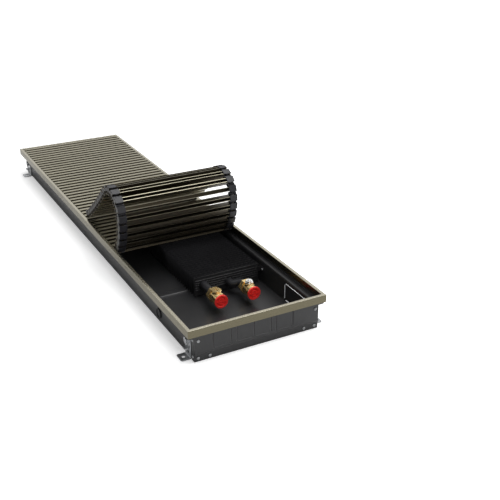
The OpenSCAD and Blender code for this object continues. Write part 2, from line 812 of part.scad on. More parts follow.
module foot_brackets() {
  color("#b4b7ba") both_sides() both_ends() foot_bracket();
}

// A sheet screw with its head on the face at z = 0 and its shank along -Z
module sheet_screw() {
  rod_z([0, 0, 0], screw_head_r, screw_head_h);
  rod_z([0, 0, -screw_l], screw_r, screw_l + screw_head_h / 2);
}

// Holes for the screws of the end plate at +X
module plate_screw_holes() {
  r = screw_r + fit_gap;
  both_sides() {
    rod_x([plate_x - screw_l, corner_screw_y, plate_screw_z], r, 2 * screw_l);
    rod_x([band_x - screw_l, corner_screw_y, band_screw_z], r, 2 * screw_l);
    rod_x([band_x - screw_l, band_screw_y, band_screw_z], r, 2 * screw_l);
    for (z = flange_screw_zs) rod_y([flange_x, wall_y - screw_l, z], r, 2 * screw_l);
  }
}

module plate_screws() {
  both_sides() {
    translate([plate_x, corner_screw_y, plate_screw_z]) rotate([0, 90, 0]) sheet_screw();
    for (y = [corner_screw_y, band_screw_y])
      translate([band_x, y, band_screw_z]) rotate([0, 90, 0]) sheet_screw();
    for (z = flange_screw_zs)
      translate([flange_x, wall_y + sheet_t, z]) rotate([-90, 0, 0]) sheet_screw();
  }
}

// Places of the screws that hold the end sheets' ears to the right wall
function ear_screw_xs() = [fin_x1 + 2 * screw_head_r, fin_x1 - rail_w - screw_head_r];

module sheet_screw_holes() {
  r = screw_r + fit_gap;
  for (x = ear_screw_xs())
    for (at = [x, fin_x0 + fin_x1 - x])
      rod_y([at, wall_y - sheet_t - end_sheet_t - over, sheet_screw_z], r, 2 * screw_l);
}

module ear_screws() {
  for (x = ear_screw_xs())
    for (at = [x, fin_x0 + fin_x1 - x])
      translate([at, wall_y - sheet_t - end_sheet_t, sheet_screw_z]) rotate([90, 0, 0]) sheet_screw();
}

// A hexagon bolt and washer in the slot of the bracket at +X +Y
module bracket_bolt() {
  translate([end_x - bracket_x, wall_y + bracket_t, slot_z]) rotate([-90, 0, 0]) {
    rod_z([0, 0, 0], washer_r, sheet_t);
    translate([0, 0, sheet_t - fit_gap]) cylinder(h = bolt_head_h + fit_gap, r = bolt_head_r, $fn = 6);
    rod_z([0, 0, -bracket_t - sheet_t - bolt_head_h], bolt_r, bracket_t + sheet_t + bolt_head_h + over);
  }
}

module screws() {
  color("#c6c8ca") {
    both_ends() plate_screws();
    ear_screws();
    both_sides() both_ends() bracket_bolt();
  }
}

// The rubber plug in the left wall
module rubber_plug() {
  flange = 2 * sheet_t;
  color("#151515") translate([end_x - grommet_x, -wall_y, grommet_z]) rotate([90, 0, 0]) {
    rod_z([0, 0, 0], grommet_r, flange);
    rod_z([0, 0, -sheet_t], grommet_hole_r - fit_gap, sheet_t + flange / 2);
    rod_z([0, 0, -sheet_t - flange], grommet_r - sheet_t, flange);
  }
}

trough();
end_plates();
frame_bars();
laid_slats();
laid_links();
fin_pack();
end_sheets();
rails();
tubes();
connectors();
blank_plug();
vent_body();
vent_spindle();
cap_flow();
cap_return();
foot_brackets();
screws();
rubber_plug();
for (i = [1:roll_count]) {
  roll_slat(i);
  roll_links(i);
}
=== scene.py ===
"""Dresses a trench convector heater with its roll-up grille partly rolled back."""
import json
import math

import bpy
from bpy.props import FloatProperty, FloatVectorProperty, PointerProperty
from bpy.types import Operator, Panel, PropertyGroup
from mathutils import Matrix, Vector


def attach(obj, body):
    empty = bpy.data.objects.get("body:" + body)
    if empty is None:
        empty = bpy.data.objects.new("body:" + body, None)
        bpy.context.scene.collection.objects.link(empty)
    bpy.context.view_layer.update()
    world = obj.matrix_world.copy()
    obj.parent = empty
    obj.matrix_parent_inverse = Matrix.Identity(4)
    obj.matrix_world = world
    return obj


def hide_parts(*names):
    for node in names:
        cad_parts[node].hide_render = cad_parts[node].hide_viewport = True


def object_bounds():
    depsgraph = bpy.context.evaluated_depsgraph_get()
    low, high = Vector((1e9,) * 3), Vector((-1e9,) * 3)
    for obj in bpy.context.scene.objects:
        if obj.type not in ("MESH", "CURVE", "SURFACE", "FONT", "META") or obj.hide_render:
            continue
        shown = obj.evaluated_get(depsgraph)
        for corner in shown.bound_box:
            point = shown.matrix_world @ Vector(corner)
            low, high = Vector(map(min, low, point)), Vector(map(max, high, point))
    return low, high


bl_info = {
    "name": "Trench Convector Heater",
    "version": (1, 0, 0),
    "blender": (4, 5, 0),
    "location": "3D View > Sidebar > Heater",
    "description": "Models the visible pieces of a trench heater over its packed frame",
    "category": "Object",
}

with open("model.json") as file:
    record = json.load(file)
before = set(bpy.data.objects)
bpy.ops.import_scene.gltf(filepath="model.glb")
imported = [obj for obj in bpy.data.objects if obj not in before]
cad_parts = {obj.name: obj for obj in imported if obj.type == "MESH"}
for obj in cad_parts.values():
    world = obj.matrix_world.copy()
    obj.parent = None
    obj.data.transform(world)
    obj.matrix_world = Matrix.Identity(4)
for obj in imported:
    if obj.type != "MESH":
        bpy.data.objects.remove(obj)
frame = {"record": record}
CAD_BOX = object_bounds()
MM = 0.001


def mm(*values):
    """Millimetres as metres."""
    return tuple(value * MM for value in values)


# Sizes and colours that a user would change

def length(name, description, default, low, high):
    """A length in metres, given here in millimetres."""
    return FloatProperty(name=name, description=description, default=default * MM, min=low * MM,
                         max=high * MM, unit="LENGTH", precision=4)


def colour(name, description, default):
    """A surface colour."""
    return FloatVectorProperty(name=name, description=description, default=default, size=3,
                               min=0.0, max=1.0, subtype="COLOR")


class HeaterSizes(PropertyGroup):
    """Sizes of the details that the frame leaves plain."""

    sheet: length("Casing sheet", "Thickness of the casing's sheet", 1.2, 0.8, 2)
    casing_bend: length("Casing bend", "Outer radius of the casing's bends", 2.2, 1, 4)
    frame_wall: length("Frame wall", "Thickness of the trim frame's profile", 1.2, 0.8, 2)
    frame_edge: length("Frame edge", "Rounding of the trim frame's edges", 0.45, 0.1, 1)
    slat_wall: length("Slat wall", "Wall of a slat's channel section", 1, 0.6, 1.5)
    slat_edge: length("Slat edge", "Rounding of a slat's upper edges", 0.7, 0.2, 1.5)
    link_edge: length("Link edge", "Rounding of a chain link's edges", 0.35, 0.1, 0.8)
    fin: length("Fin", "Thickness of a fin", 0.4, 0.2, 0.8)
    fin_wave: length("Fin wave", "Depth of the waves across a fin", 0.9, 0.2, 2)
    fin_wave_length: length("Fin wave length", "Distance from wave to wave", 9.2, 4, 20)
    bracket: length("Bracket sheet", "Thickness of a foot bracket", 2, 1.5, 3)


class HeaterColours(PropertyGroup):
    """Colours of the finishes."""

    casing: colour("Casing", "Black powder coat of the casing", (0.017, 0.017, 0.018))
    frame_bar: colour("Trim frame", "Bronze anodised trim frame", (0.155, 0.14, 0.095))
    # The frame's top colour is a paler copy of its anodised bronze: a painted highlight of the light from
    # above.
    frame_top_highlight: colour("Trim frame's top", "Paler upper lip of the trim frame", (0.46, 0.43, 0.34))
    slat: colour("Slats", "Bronze anodised slats", (0.36, 0.335, 0.25))
    # The slats' side colour is a darker copy of their anodised bronze: painted shade on their sides and
    # inside.
    slat_painted_shade: colour("Slat sides", "Dark sides and inside of the slats", (0.085, 0.072, 0.05))
    link: colour("Links", "Black plastic of the chain links", (0.012, 0.012, 0.015))
    fin: colour("Fins", "Black coating of the exchanger", (0.016, 0.016, 0.018))
    tube: colour("Tubes", "Black paint of the water tubes", (0.014, 0.014, 0.016))
    brass: colour("Brass", "Turned brass of the connectors", (0.92, 0.68, 0.32))
    nickel: colour("Nickel", "Nickel plating of the air vent", (0.86, 0.86, 0.84))
    cap: colour("Caps", "Red plastic of the protective caps", (0.9, 0.028, 0.022))
    zinc: colour("Zinc", "Zinc plating of brackets and screws", (0.42, 0.43, 0.44))
    rubber: colour("Rubber", "Black rubber of the wall plug", (0.012, 0.012, 0.012))


def power(name, description, default):
    """The power of a lamp in watts."""
    return FloatProperty(name=name, description=description, default=default, min=0.0, unit="POWER")


class HeaterStage(PropertyGroup):
    """Light and camera."""

    key_power: power("Key light", "Power of the large overhead light", 52.0)
    side_power: power("Side light", "Power of the light from the right", 16.0)
    front_power: power("Front light", "Power of the light on the near end", 4.5)
    sky: FloatProperty(name="Sky", description="Strength of the light from all round",
                       default=0.38, min=0.0, max=2.0)
    back_sky: FloatProperty(name="Back sky", description="Strength of the light from behind the unit",
                            default=1.15, min=0.0, max=3.0)
    lens: FloatProperty(name="Lens", description="Focal length of the camera", default=60.05,
                        min=20.0, max=200.0, unit="CAMERA")


# Modelling helpers, which select by place or direction and then run an operator

def take(piece=None):
    """Leaves edit mode, clears the selection, and selects one piece if it is given."""
    if bpy.context.mode != "OBJECT":
        bpy.ops.object.mode_set(mode="OBJECT")
    bpy.ops.object.select_all(action="DESELECT")
    if piece is not None:
        piece.select_set(True)
        bpy.context.view_layer.objects.active = piece
    return piece


def open_all(piece, kind="VERT"):
    """Opens a piece in edit mode with everything selected, as points, edges or faces."""
    take(piece)
    bpy.ops.object.mode_set(mode="EDIT")
    bpy.ops.mesh.select_mode(type=kind)
    bpy.ops.mesh.select_all(action="SELECT")


def draw_out(*by):
    """Extrudes what is selected by an offset."""
    bpy.ops.mesh.extrude_region_move(TRANSFORM_OT_translate={"value": by})


def settle(piece, name=None):
    """Puts a piece's place, turn and scale into its mesh."""
    take(piece)
    bpy.ops.object.transform_apply(location=True, rotation=True, scale=True)
    if name:
        piece.name = name
        piece.data.name = name
    return piece


def add_box(low, high, name="box"):
    """A box from its lowest corner to its highest one."""
    take()
    low, high = Vector(low), Vector(high)
    bpy.ops.mesh.primitive_cube_add(size=1, location=(low + high) / 2)
    bpy.context.object.scale = high - low
    return settle(bpy.context.object, name)


TURNS = {"Z": Matrix(), "X": Matrix.Rotation(math.pi / 2, 4, "Y"),
         "Y": Matrix.Rotation(-math.pi / 2, 4, "X"), "-Y": Matrix.Rotation(math.pi / 2, 4, "X")}


def profile(*pairs):
    """The rings of a turned part, each a distance and a radius, in millimetres."""
    return [mm(*pair) for pair in pairs]


def mirrored(size, near_end):
    """The rings of a turned part whose far end mirrors its near one."""
    return near_end + [(size - along, radius) for along, radius in reversed(near_end)]


def turned(rings, at, axis="Z", sides=40, name="turned", through=False):
    """A part turned on a lathe: a circle pulled out from ring to ring, each a distance and a radius.

    A part with a bore right through it ends on the ring that it began with."""
    take()
    along, radius = rings[0]
    bpy.ops.mesh.primitive_circle_add(vertices=sides, radius=radius, location=(0, 0, along))
    piece = settle(bpy.context.object, name)
    open_all(piece, "EDGE")
    for next_along, next_radius in rings[1:]:
        draw_out(0, 0, next_along - along)
        grow = next_radius / radius
        bpy.ops.transform.resize(value=(grow, grow, 1), center_override=(0, 0, 0))
        along, radius = next_along, next_radius
    bpy.ops.mesh.select_all(action="SELECT")
    if through:
        bpy.ops.mesh.remove_doubles(threshold=1e-6)
    else:
        bpy.ops.mesh.fill_holes(sides=0)
    bpy.ops.mesh.normals_make_consistent(inside=False)
    close(piece).matrix_world = moved(*at) @ TURNS[axis]
    return settle(piece)


def mark(piece, kind, test):
    """Opens a piece in edit mode with the faces, edges or points selected that pass the test."""
    open_all(piece, kind)
    bpy.ops.mesh.select_all(action="DESELECT")
    close(piece)
    points = piece.data.vertices
    if kind == "FACE":
        for face in piece.data.polygons:
            face.select = test(face.center, face.normal)
    elif kind == "EDGE":
        for edge in piece.data.edges:
            edge.select = test(*[points[i].co for i in edge.vertices])
    else:
        for point in points:
            point.select = test(point.co)
    bpy.ops.object.mode_set(mode="EDIT")


def close(piece):
    """Leaves edit mode."""
    bpy.ops.object.mode_set(mode="OBJECT")
    return piece


def pull(piece, kind, test, by):
    """Extrudes what passes the test by an offset."""
    mark(piece, kind, test)
    draw_out(*by)
    return close(piece)


def shift(piece, test, by):
    """Moves the points that pass the test."""
    mark(piece, "VERT", test)
    bpy.ops.transform.translate(value=by)
    return close(piece)


def round_edges(piece, test, radius, segments=3):
    """Rounds the edges that pass the test."""
    mark(piece, "EDGE", test)
    bpy.ops.mesh.bevel(offset=radius, segments=segments, affect="EDGES")
    return close(piece)


def flip(piece):
    """Turns all faces of a piece over."""
    open_all(piece)
    bpy.ops.mesh.flip_normals()
    return close(piece)


def modify(piece, kind, **settings):
    """Adds a modifier, sets it and applies it."""
    take(piece)
    modifier = piece.modifiers.new(kind.title(), kind)
    for key, value in settings.items():
        setattr(modifier, key, value)
    bpy.ops.object.modifier_apply(modifier=modifier.name)
    return piece


def thicken(piece, wall, even=True):
    """Gives a bent sheet its thickness, inwards."""
    return modify(piece, "SOLIDIFY", thickness=wall, offset=-1, use_even_offset=even)


def soften(piece, radius, segments=2, over=40):
    """Rounds every edge sharper than an angle in degrees."""
    return modify(piece, "BEVEL", width=radius, segments=segments, limit_method="ANGLE",
                  angle_limit=math.radians(over), use_clamp_overlap=True)


def smooth(piece, angle=35):
    """Shades smooth up to an angle in degrees."""
    take(piece)
    bpy.ops.object.shade_smooth_by_angle(angle=math.radians(angle))
    return piece


def cut(piece, *cutters, operation="DIFFERENCE"):
    """Cuts other shapes out of a piece, or keeps what lies in them, and deletes them."""
    for cutter in cutters:
        modify(piece, "BOOLEAN", operation=operation, object=cutter, solver="EXACT")
        bpy.data.objects.remove(cutter)
    return piece


def merge(pieces, name):
    """Joins pieces into one."""
    joined = take(pieces[0])
    for piece in pieces:
        piece.select_set(True)
    if len(pieces) > 1:
        bpy.ops.object.join()
    joined.name = name
    joined.data.name = name
    return joined


def copy_to(piece, place, name="copy"):
    """A copy with its own mesh, put at a place, turned the right way out if the place mirrors it."""
    take(piece)
    bpy.ops.object.duplicate(linked=False)
    twin = bpy.context.object
    twin.matrix_world = place
    settle(twin, name)
    return flip(twin) if place.determinant() < 0 else twin


def spread(piece, places, name):
    """Copies a piece to several places, joins the copies and deletes the first."""
    twins = [copy_to(piece, place) for place in places]
    bpy.data.objects.remove(piece)
    return merge(twins, name)


def moved(x=0, y=0, z=0):
    """A place that is moved and not turned."""
    return Matrix.Translation((x, y, z))


MIRRORS = [Matrix.Diagonal((x, y, 1, 1)) for x in (1, -1) for y in (1, -1)]
BOTH_ENDS = [Matrix.Diagonal((x, 1, 1, 1)) for x in (1, -1)]
BOTH_SIDES = [Matrix.Diagonal((1, y, 1, 1)) for y in (1, -1)]


def paint(piece, main, other, test):
    """Gives a piece its main material, and another one on the faces that pass the test."""
    for material in (main, other):
        piece.data.materials.append(material)
    mark(piece, "FACE", test)
    piece.active_material_index = 1
    bpy.ops.object.material_slot_assign()
    return close(piece)


def finish(piece, material, body, node):
    """Gives a piece its body, lets it stand for a CAD node, and gives it a material.

    Without a material it keeps those that it has."""
    if material:
        piece.data.materials.clear()
        piece.data.materials.append(material)
    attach(piece, body)
    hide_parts(node)
    return piece


# Materials

def node_adder(owner):
    """Empties a material's or world's nodes, and gives a helper that adds one with its inputs."""
    owner.use_nodes = True
    tree = owner.node_tree
    tree.nodes.clear()

    def add(kind, inputs=(), **settings):
        node = tree.nodes.new(kind)
        for key, value in settings.items():
            setattr(node, key, value)
        for key, value in dict(inputs).items():
            if isinstance(value, bpy.types.NodeSocket):
                tree.links.new(value, node.inputs[key])
            else:
                node.inputs[key].default_value = value
        return node

    return add


def surface(name, base, metallic, rough, rough_vary=0.06, tint_vary=0.1, grain=900.0,
            grain_depth=0.02, stretch=(1, 1, 1), coat=0.0, cloud=18.0):
    """A finish with drifting colour and roughness and a fine grain in the surface."""
    known = bpy.data.materials.get(name)
    if known:
        return known
    material = bpy.data.materials.new(name)
    add = node_adder(material)
    place = add("ShaderNodeTexCoord")
    mapped = add("ShaderNodeMapping", {"Vector": place.outputs["Object"], "Scale": stretch})
    drift = add("ShaderNodeTexNoise", {"Vector": mapped.outputs["Vector"], "Scale": cloud,
                                       "Detail": 4.0, "Roughness": 0.6})
    fine = add("ShaderNodeTexNoise", {"Vector": mapped.outputs["Vector"], "Scale": grain,
                                      "Detail": 3.0, "Roughness": 0.65})
    tint = add("ShaderNodeMapRange", {"Value": drift.outputs["Fac"], "From Min": 0.3,
                                      "From Max": 0.7, "To Min": 1 - tint_vary,
                                      "To Max": 1 + tint_vary})
    shade = add("ShaderNodeVectorMath", {0: tuple(base), "Scale": tint.outputs["Result"]},
                operation="SCALE")
    gloss = add("ShaderNodeMapRange", {"Value": fine.outputs["Fac"], "From Min": 0.25,
                                       "From Max": 0.75, "To Min": max(0.02, rough - rough_vary),
                                       "To Max": min(1.0, rough + rough_vary)})
    relief = add("ShaderNodeBump", {"Height": fine.outputs["Fac"], "Strength": 0.25,
                                    "Distance": grain_depth * MM})
    shader = add("ShaderNodeBsdfPrincipled", {
        "Base Color": shade.outputs["Vector"], "Roughness": gloss.outputs["Result"],
        "Normal": relief.outputs["Normal"], "Metallic": metallic, "Coat Weight": coat})
    add("ShaderNodeOutputMaterial", {"Surface": shader.outputs["BSDF"]})
    return material


ALONG_X = (0.03, 1, 1)
ALONG_Y = (1, 0.03, 1)


def tones():
    return bpy.context.scene.heater_colours


def powder_coat():
    return surface("powder_coat_black", tones().casing, 0.0, 0.34, tint_vary=0.12, grain=1400.0,
                   grain_depth=0.03)


def frame_anodised(part, base, stretch=(1, 1, 1)):
    return surface("anodised_frame_" + part, base, 1.0, 0.27, tint_vary=0.05, grain=700.0,
                   stretch=stretch)


def slat_anodised():
    return surface("anodised_slat", tones().slat, 1.0, 0.36, rough_vary=0.07, tint_vary=0.05,
                   grain=800.0, stretch=ALONG_Y)


# A darker copy of the slats' anodised finish: painted shade for their sides and inside.
def slat_painted_shade():
    return surface("slat_painted_shade", tones().slat_painted_shade, 1.0, 0.42, rough_vary=0.07, tint_vary=0.08,
                   grain=800.0, stretch=ALONG_Y)


def link_plastic():
    return surface("link_plastic", tones().link, 0.0, 0.42, tint_vary=0.12, grain_depth=0.03)


def fin_coating():
    return surface("fin_coating", tones().fin, 0.0, 0.5, rough_vary=0.08, tint_vary=0.2,
                   grain=600.0, grain_depth=0.03)


def tube_paint():
    return surface("tube_paint", tones().tube, 0.0, 0.33, tint_vary=0.15, grain=500.0,
                   grain_depth=0.04)


def brass():
    return surface("turned_brass", tones().brass, 1.0, 0.24, rough_vary=0.04, tint_vary=0.04,
                   grain=350.0, grain_depth=0.004)


def nickel():
    return surface("nickel_plating", tones().nickel, 1.0, 0.2, rough_vary=0.04, tint_vary=0.04,
                   grain=350.0, grain_depth=0.004)


def cap_plastic():
    return surface("cap_plastic", tones().cap, 0.0, 0.3, rough_vary=0.05, tint_vary=0.05,
                   grain=700.0, grain_depth=0.01, coat=0.4)


def zinc_plate():
    return surface("zinc_plate", tones().zinc, 1.0, 0.36, rough_vary=0.09, tint_vary=0.12,
                   grain=350.0, cloud=60.0)


def plug_rubber():
    return surface("plug_rubber", tones().rubber, 0.0, 0.6, rough_vary=0.08, tint_vary=0.2,
                   grain_depth=0.05)


# Sizes and places, as in the part's source: clearances, then the casing and what it carries

SHEET = 1.2 * MM
FIT = 0.05 * MM
SEAT = 0.3 * MM
OVERRUN = 2.3 * MM
END = CAD_BOX[1][0]
PLATE = END - 3.4 * MM
BAND = PLATE - 2 * MM
TROUGH_END = BAND - SHEET
FLANGE = 11.6 * MM
HALF_W = 126 * MM
WALL = HALF_W - 13.3 * MM
UPSTAND = HALF_W - 2.6 * MM
TOP = 62 * MM
SLAT_H = 15 * MM
SLAT_HALF_W = 4 * MM
LINK_FLOOR = 1.2 * MM

LEDGE = TOP - SLAT_H - LINK_FLOOR - SEAT
LEDGE_UNDER = LEDGE - SHEET
UPSTAND_TOP = TOP - SHEET - SEAT
BAND_TOP = 12 * MM
JOGGLE_TOP = BAND_TOP + 3.5 * MM

# The chain of slats
PITCH = 16.2 * MM
HINGE_DROP = 8.5 * MM
HINGE_Z = TOP - HINGE_DROP
SLATS = 61
ROLLED = 21
LAID = SLATS - ROLLED
ROW_START = -(SLATS - 1) * PITCH / 2
LIP = 6 * MM
SLAT_SIDE_GAP = 0.6 * MM
SLAT_HALF = HALF_W - LIP - SLAT_SIDE_GAP
LINK_HALF = 7.5 * MM
LINK_Y = SLAT_HALF - LINK_HALF - SLAT_SIDE_GAP / 2

# The exchanger and its tubes
FIN_START = END - 196 * MM
FIN_END = 62 * MM - END
FIN_Y1 = WALL - SHEET - 6.5 * MM
FIN_Y0 = FIN_Y1 - 130 * MM
FIN_LOW = 3 * MM
FIN_HIGH = LEDGE - 5.5 * MM
FIN_PITCH = 8 * MM
FINS = 91
TUBE_R = 7.5 * MM
FLOW_SHARE = 0.58
RIB_SHARE = 0.57
FLOW_Y = FIN_Y0 + 17.5 * MM
FLOW_Z = FIN_LOW + FLOW_SHARE * (FIN_HIGH - FIN_LOW)
RETURN_Y = FLOW_Y + 50.5 * MM
RETURN_Z = FLOW_Z - 5.9 * MM
RETURN_OUT_Y = RETURN_Y + 13.5 * MM

# Connectors, brackets and the plug in the wall
CAP = END - 121.5 * MM
CAP_DISC = 3 * MM
MOUTH_L = 9.5 * MM
BODY_L = 18 * MM
NUT_L = 9 * MM
NUT = CAP - CAP_DISC - SEAT - MOUTH_L - BODY_L
CONNECTOR = NUT - NUT_L / 2
BOSS = NUT + (BODY_L + NUT_L / 2) / 2
BOSS_TOP = FLOW_Z + 12.5 * MM
BRACKET = END - 27.5 * MM
BOLT_Z = 31.02 * MM
WALL_PLUG = (END - 148 * MM, -WALL, 18 * MM)


def sizes():
    return bpy.context.scene.heater_sizes


def near(a, b, gap=1e-5):
    return abs(a - b) < gap


SWAPS = {"Y": Matrix(((0, 1, 0, 0), (1, 0, 0, 0), (0, 0, 1, 0), (0, 0, 0, 1))),
         "Z": Matrix(((0, 1, 0, 0), (0, 0, 1, 0), (1, 0, 0, 0), (0, 0, 0, 1)))}


def bent(path, low, high, axis="X", name="bent"):
    """A bent sheet without thickness: an edge along one axis pulled from point to point of a path.

    The path's points are (y, z) for a sheet along X, (x, z) for one along Y, and (x, y) along Z."""
    take()
    bpy.ops.mesh.primitive_plane_add(size=1)
    piece = bpy.context.object
    piece.scale = (high - low, 1, 1)
    settle(piece, name)
    mark(piece, "VERT", lambda co: co.y > 0)
    bpy.ops.mesh.delete(type="VERT")
    bpy.ops.mesh.select_all(action="SELECT")
    first = path[0]
    bpy.ops.transform.translate(value=((low + high) / 2, first[0] + 0.5, first[1]))
    for before, after in zip(path, path[1:]):
        draw_out(0, after[0] - before[0], after[1] - before[1])
    close(piece)
    if axis in SWAPS:
        piece.matrix_world = SWAPS[axis]
        settle(piece)
    return piece


def aim(piece, direction):
    """Turns a sheet over if its first face looks away from a direction."""
    away = piece.data.polygons[0].normal.dot(Vector(direction)) < 0
    return flip(piece) if away else piece


def rod(at, radius, length, axis="Z", sides=24):
    """A plain round cutter from a point along an axis."""
    return turned([(0, radius), (length, radius)], at, axis, sides, "rod")


def along_x(a, b):
    """Whether an edge runs along X."""
    return abs(b.x - a.x) > 10 * max(abs(b.y - a.y), abs(b.z - a.z), 1e-7)


def along_y(a, b):
    """Whether an edge runs along Y."""
    return abs(b.y - a.y) > 10 * max(abs(b.x - a.x), abs(b.z - a.z), 1e-7)


def tube_holes(start, depth, sides):
    """Cutters along X for the holes that the two tubes pass through."""
    return [rod((start, y, z), TUBE_R + FIT, depth, "X", sides)
            for y, z in ((FLOW_Y, FLOW_Z), (RETURN_Y, RETURN_Z))]


def cross_recess(piece, at, axis):
    """Cuts a cross recess into a screw's head at a point along an axis."""
    reach, half, depth = mm(1.5, 0.25, 1)
    for turn in (0, 1):
        cutter = add_box((-reach, -half, -depth), (reach, half, depth))
        spin = Matrix.Rotation(math.pi / 2 * turn, 4, "Z")
        cutter.matrix_world = moved(*at) @ TURNS[axis] @ spin
        settle(cutter)
        cut(piece, cutter)
    return piece


class HEATER_OT_casing(Operator):
    """Casing: one bent sheet with ledges, upstands, turned-in ends, knock-out and holes"""
    bl_idname = "heater.casing"
    bl_label = "Casing"

    def execute(self, context):
        sheet = sizes().sheet
        path = [(-UPSTAND, UPSTAND_TOP), (-UPSTAND, LEDGE_UNDER), (-WALL, LEDGE_UNDER), (-WALL, 0),
                (WALL, 0), (WALL, LEDGE_UNDER), (UPSTAND, LEDGE_UNDER), (UPSTAND, UPSTAND_TOP)]
        casing = aim(bent(path, -TROUGH_END, TROUGH_END, "X", "casing"), (0, -1, 0))
        round_edges(casing, lambda a, b: along_x(a, b) and a.z < UPSTAND_TOP - MM,
                    sizes().casing_bend, 4)
        thicken(casing, sheet)
        plug_hole, bolt_hole, depth = mm(7.2, 3.05, 5)
        left_start, right_start = -WALL - OVERRUN, WALL + OVERRUN - depth
        cuts = [rod((WALL_PLUG[0], left_start, WALL_PLUG[2]), plug_hole, depth, "Y")]
        for x in (-BRACKET, BRACKET):
            for y in (left_start, right_start):
                cuts.append(rod((x, y, BOLT_Z), bolt_hole, depth, "Y", 16))
        x0, x1, z0, z1 = mm(389.5, 460.5, 3.2, 37)
        slit_x, slit_z, tab_x, tab_z = mm(1.5, 1.4, 3, 2.9)
        for low, high in (((x0, z0 + tab_z), (x0 + slit_x, z1 - tab_z)),
                          ((x1 - slit_x, z0 + tab_z), (x1, z1 - tab_z)),
                          ((x0 + tab_x, z0), (x1 - tab_x, z0 + slit_z)),
                          ((x0 + tab_x, z1 - slit_z), (x1 - tab_x, z1))):
            cuts.append(add_box((low[0], WALL - OVERRUN, low[1]), (high[0], WALL + OVERRUN, high[1])))
        cut(casing, *cuts)
        soften(casing, 0.18 * MM, 1, 60)
        # The faces inside the knock-out's slits take the bright zinc finish, which draws the knock-out's
        # outline as light lines.
        edge, margin = mm(0.1, 0.2)
        paint(casing, powder_coat(), zinc_plate(), lambda at, normal:
              x0 - margin < at.x < x1 + margin and z0 - margin < at.z < z1 + margin
              and WALL - sheet + edge < at.y < WALL - edge)
        parts = [casing]
        parts += [self.floor_flange(side, sheet) for side in (-1, 1)]
        parts += [self.wall_tab(place, sheet) for place in MIRRORS]
        casing = merge(parts, "casing")
        finish(smooth(casing), None, "unit", "trough")
        return {"FINISHED"}

    def floor_flange(self, side, sheet):
        """The end of the floor, turned up behind an end plate's foot band."""
        inner, foot, bend = (TROUGH_END - sheet) * side, 3 * MM, 1.8 * MM
        face, low, half = inner + sheet * side, sheet + FIT, WALL - 2 * sheet
        flange = bent([(inner - foot * side, low), (face, low), (face, BAND_TOP - sheet)], -half, half,
                      "Y", "floor_flange")
        aim(flange, (0, 0, -1))
        round_edges(flange, lambda a, b: along_y(a, b) and a.z < low + FIT
                    and abs(a.x) > TROUGH_END - MM / 2, bend, 3)
        return thicken(flange, sheet)

    def wall_tab(self, place, sheet):
        """The end of a side wall, turned in behind the end plate, put in its place."""
        x, bend = PLATE - sheet, 1.6 * MM
        path = [(TROUGH_END - MM, WALL), (x, WALL), (x, WALL - FLANGE)]
        tab = bent(path, JOGGLE_TOP + 2 * sheet, LEDGE_UNDER - FIT, "Z", "wall_end_tab")
        aim(tab, (0, 1, 0))
        round_edges(tab, lambda a, b: all(near(point.x, x) and near(point.y, WALL)
                                          for point in (a, b)), bend, 3)
        thicken(tab, sheet)
        return spread(tab, [place], "wall_end_tab")


class HEATER_OT_end_plates(Operator):
    """End plates: joggled sheets with side flanges, ears and knock-outs"""
    bl_idname = "heater.end_plates"
    bl_label = "End plates"

    def execute(self, context):
        sheet = sizes().sheet
        flange_top, side_face, flange_end = LEDGE_UNDER - SHEET, WALL + sheet, PLATE - FLANGE
        path = [(BAND, SEAT), (BAND, BAND_TOP), (PLATE, JOGGLE_TOP), (PLATE, flange_top),
                (PLATE, LEDGE_UNDER), (PLATE, UPSTAND_TOP)]
        plate = aim(bent(path, -WALL, WALL, "Y", "end_plate"), (1, 0, 0))
        tiny, front, corner = 0.01 * MM, PLATE - 6.6 * MM, WALL + 2.3 * MM
        for side in (-1, 1):
            pull(plate, "EDGE", lambda a, b: a.y * side > WALL - tiny and b.y * side > WALL - tiny
                 and min(a.z, b.z) > LEDGE_UNDER - tiny, (0, (UPSTAND - WALL) * side, 0))
            for face, by in ((WALL, (0, sheet * side, 0)), (side_face, (-15 * MM, 0, 0))):
                pull(plate, "EDGE", lambda a, b: near(a.y * side, face) and near(b.y * side, face)
                     and max(a.z, b.z) < flange_top + MM / 10, by)
        mark(plate, "VERT", lambda co: co.x < front)
        bpy.ops.transform.resize(value=(0, 1, 1), center_override=(flange_end, 0, 0))
        close(plate)
        joggle_bend, corner_bend = mm(0.5, 0.9)
        round_edges(plate, lambda a, b: along_y(a, b) and near(a.z, b.z)
                    and BAND_TOP - MM < a.z < JOGGLE_TOP + MM
                    and min(a.x, b.x) > front and abs(a.y) < corner, joggle_bend, 2)
        round_edges(plate, lambda a, b: near(abs(a.y), side_face) and near(abs(b.y), side_face)
                    and min(a.x, b.x) > front and abs(a.z - b.z) > MM / 2, corner_bend, 3)
        thicken(plate, sheet, even=False)
        cut(plate, *self.knockouts())
        soften(plate, 0.15 * MM, 1, 60)
        plates = spread(plate, BOTH_ENDS, "end_plates")
        finish(smooth(plates), powder_coat(), "unit", "end_plates")
        return {"FINISHED"}

    def knockouts(self):
        """Cutters for the slits round four knock-outs, of which the inner two share one slit."""
        middle, width, bridge, half_slit, tab = mm(-8.5, 31.5, 9.7, 0.8, 2.5)
        low, high = 18.4 * MM, UPSTAND_TOP - 10.1 * MM
        x0, x1 = mm(494, 498)
        starts = [middle - 2 * width - bridge, middle - width, middle, middle + width + bridge]
        ends = [start + width for start in starts if start != starts[1]]
        cuts = [add_box((x0, y - half_slit, low), (x1, y + half_slit, high))
                for y in sorted(starts + ends)]
        cuts += [add_box((x0, y + tab, low), (x1, y + width - tab, low + MM)) for y in starts]
        return cuts


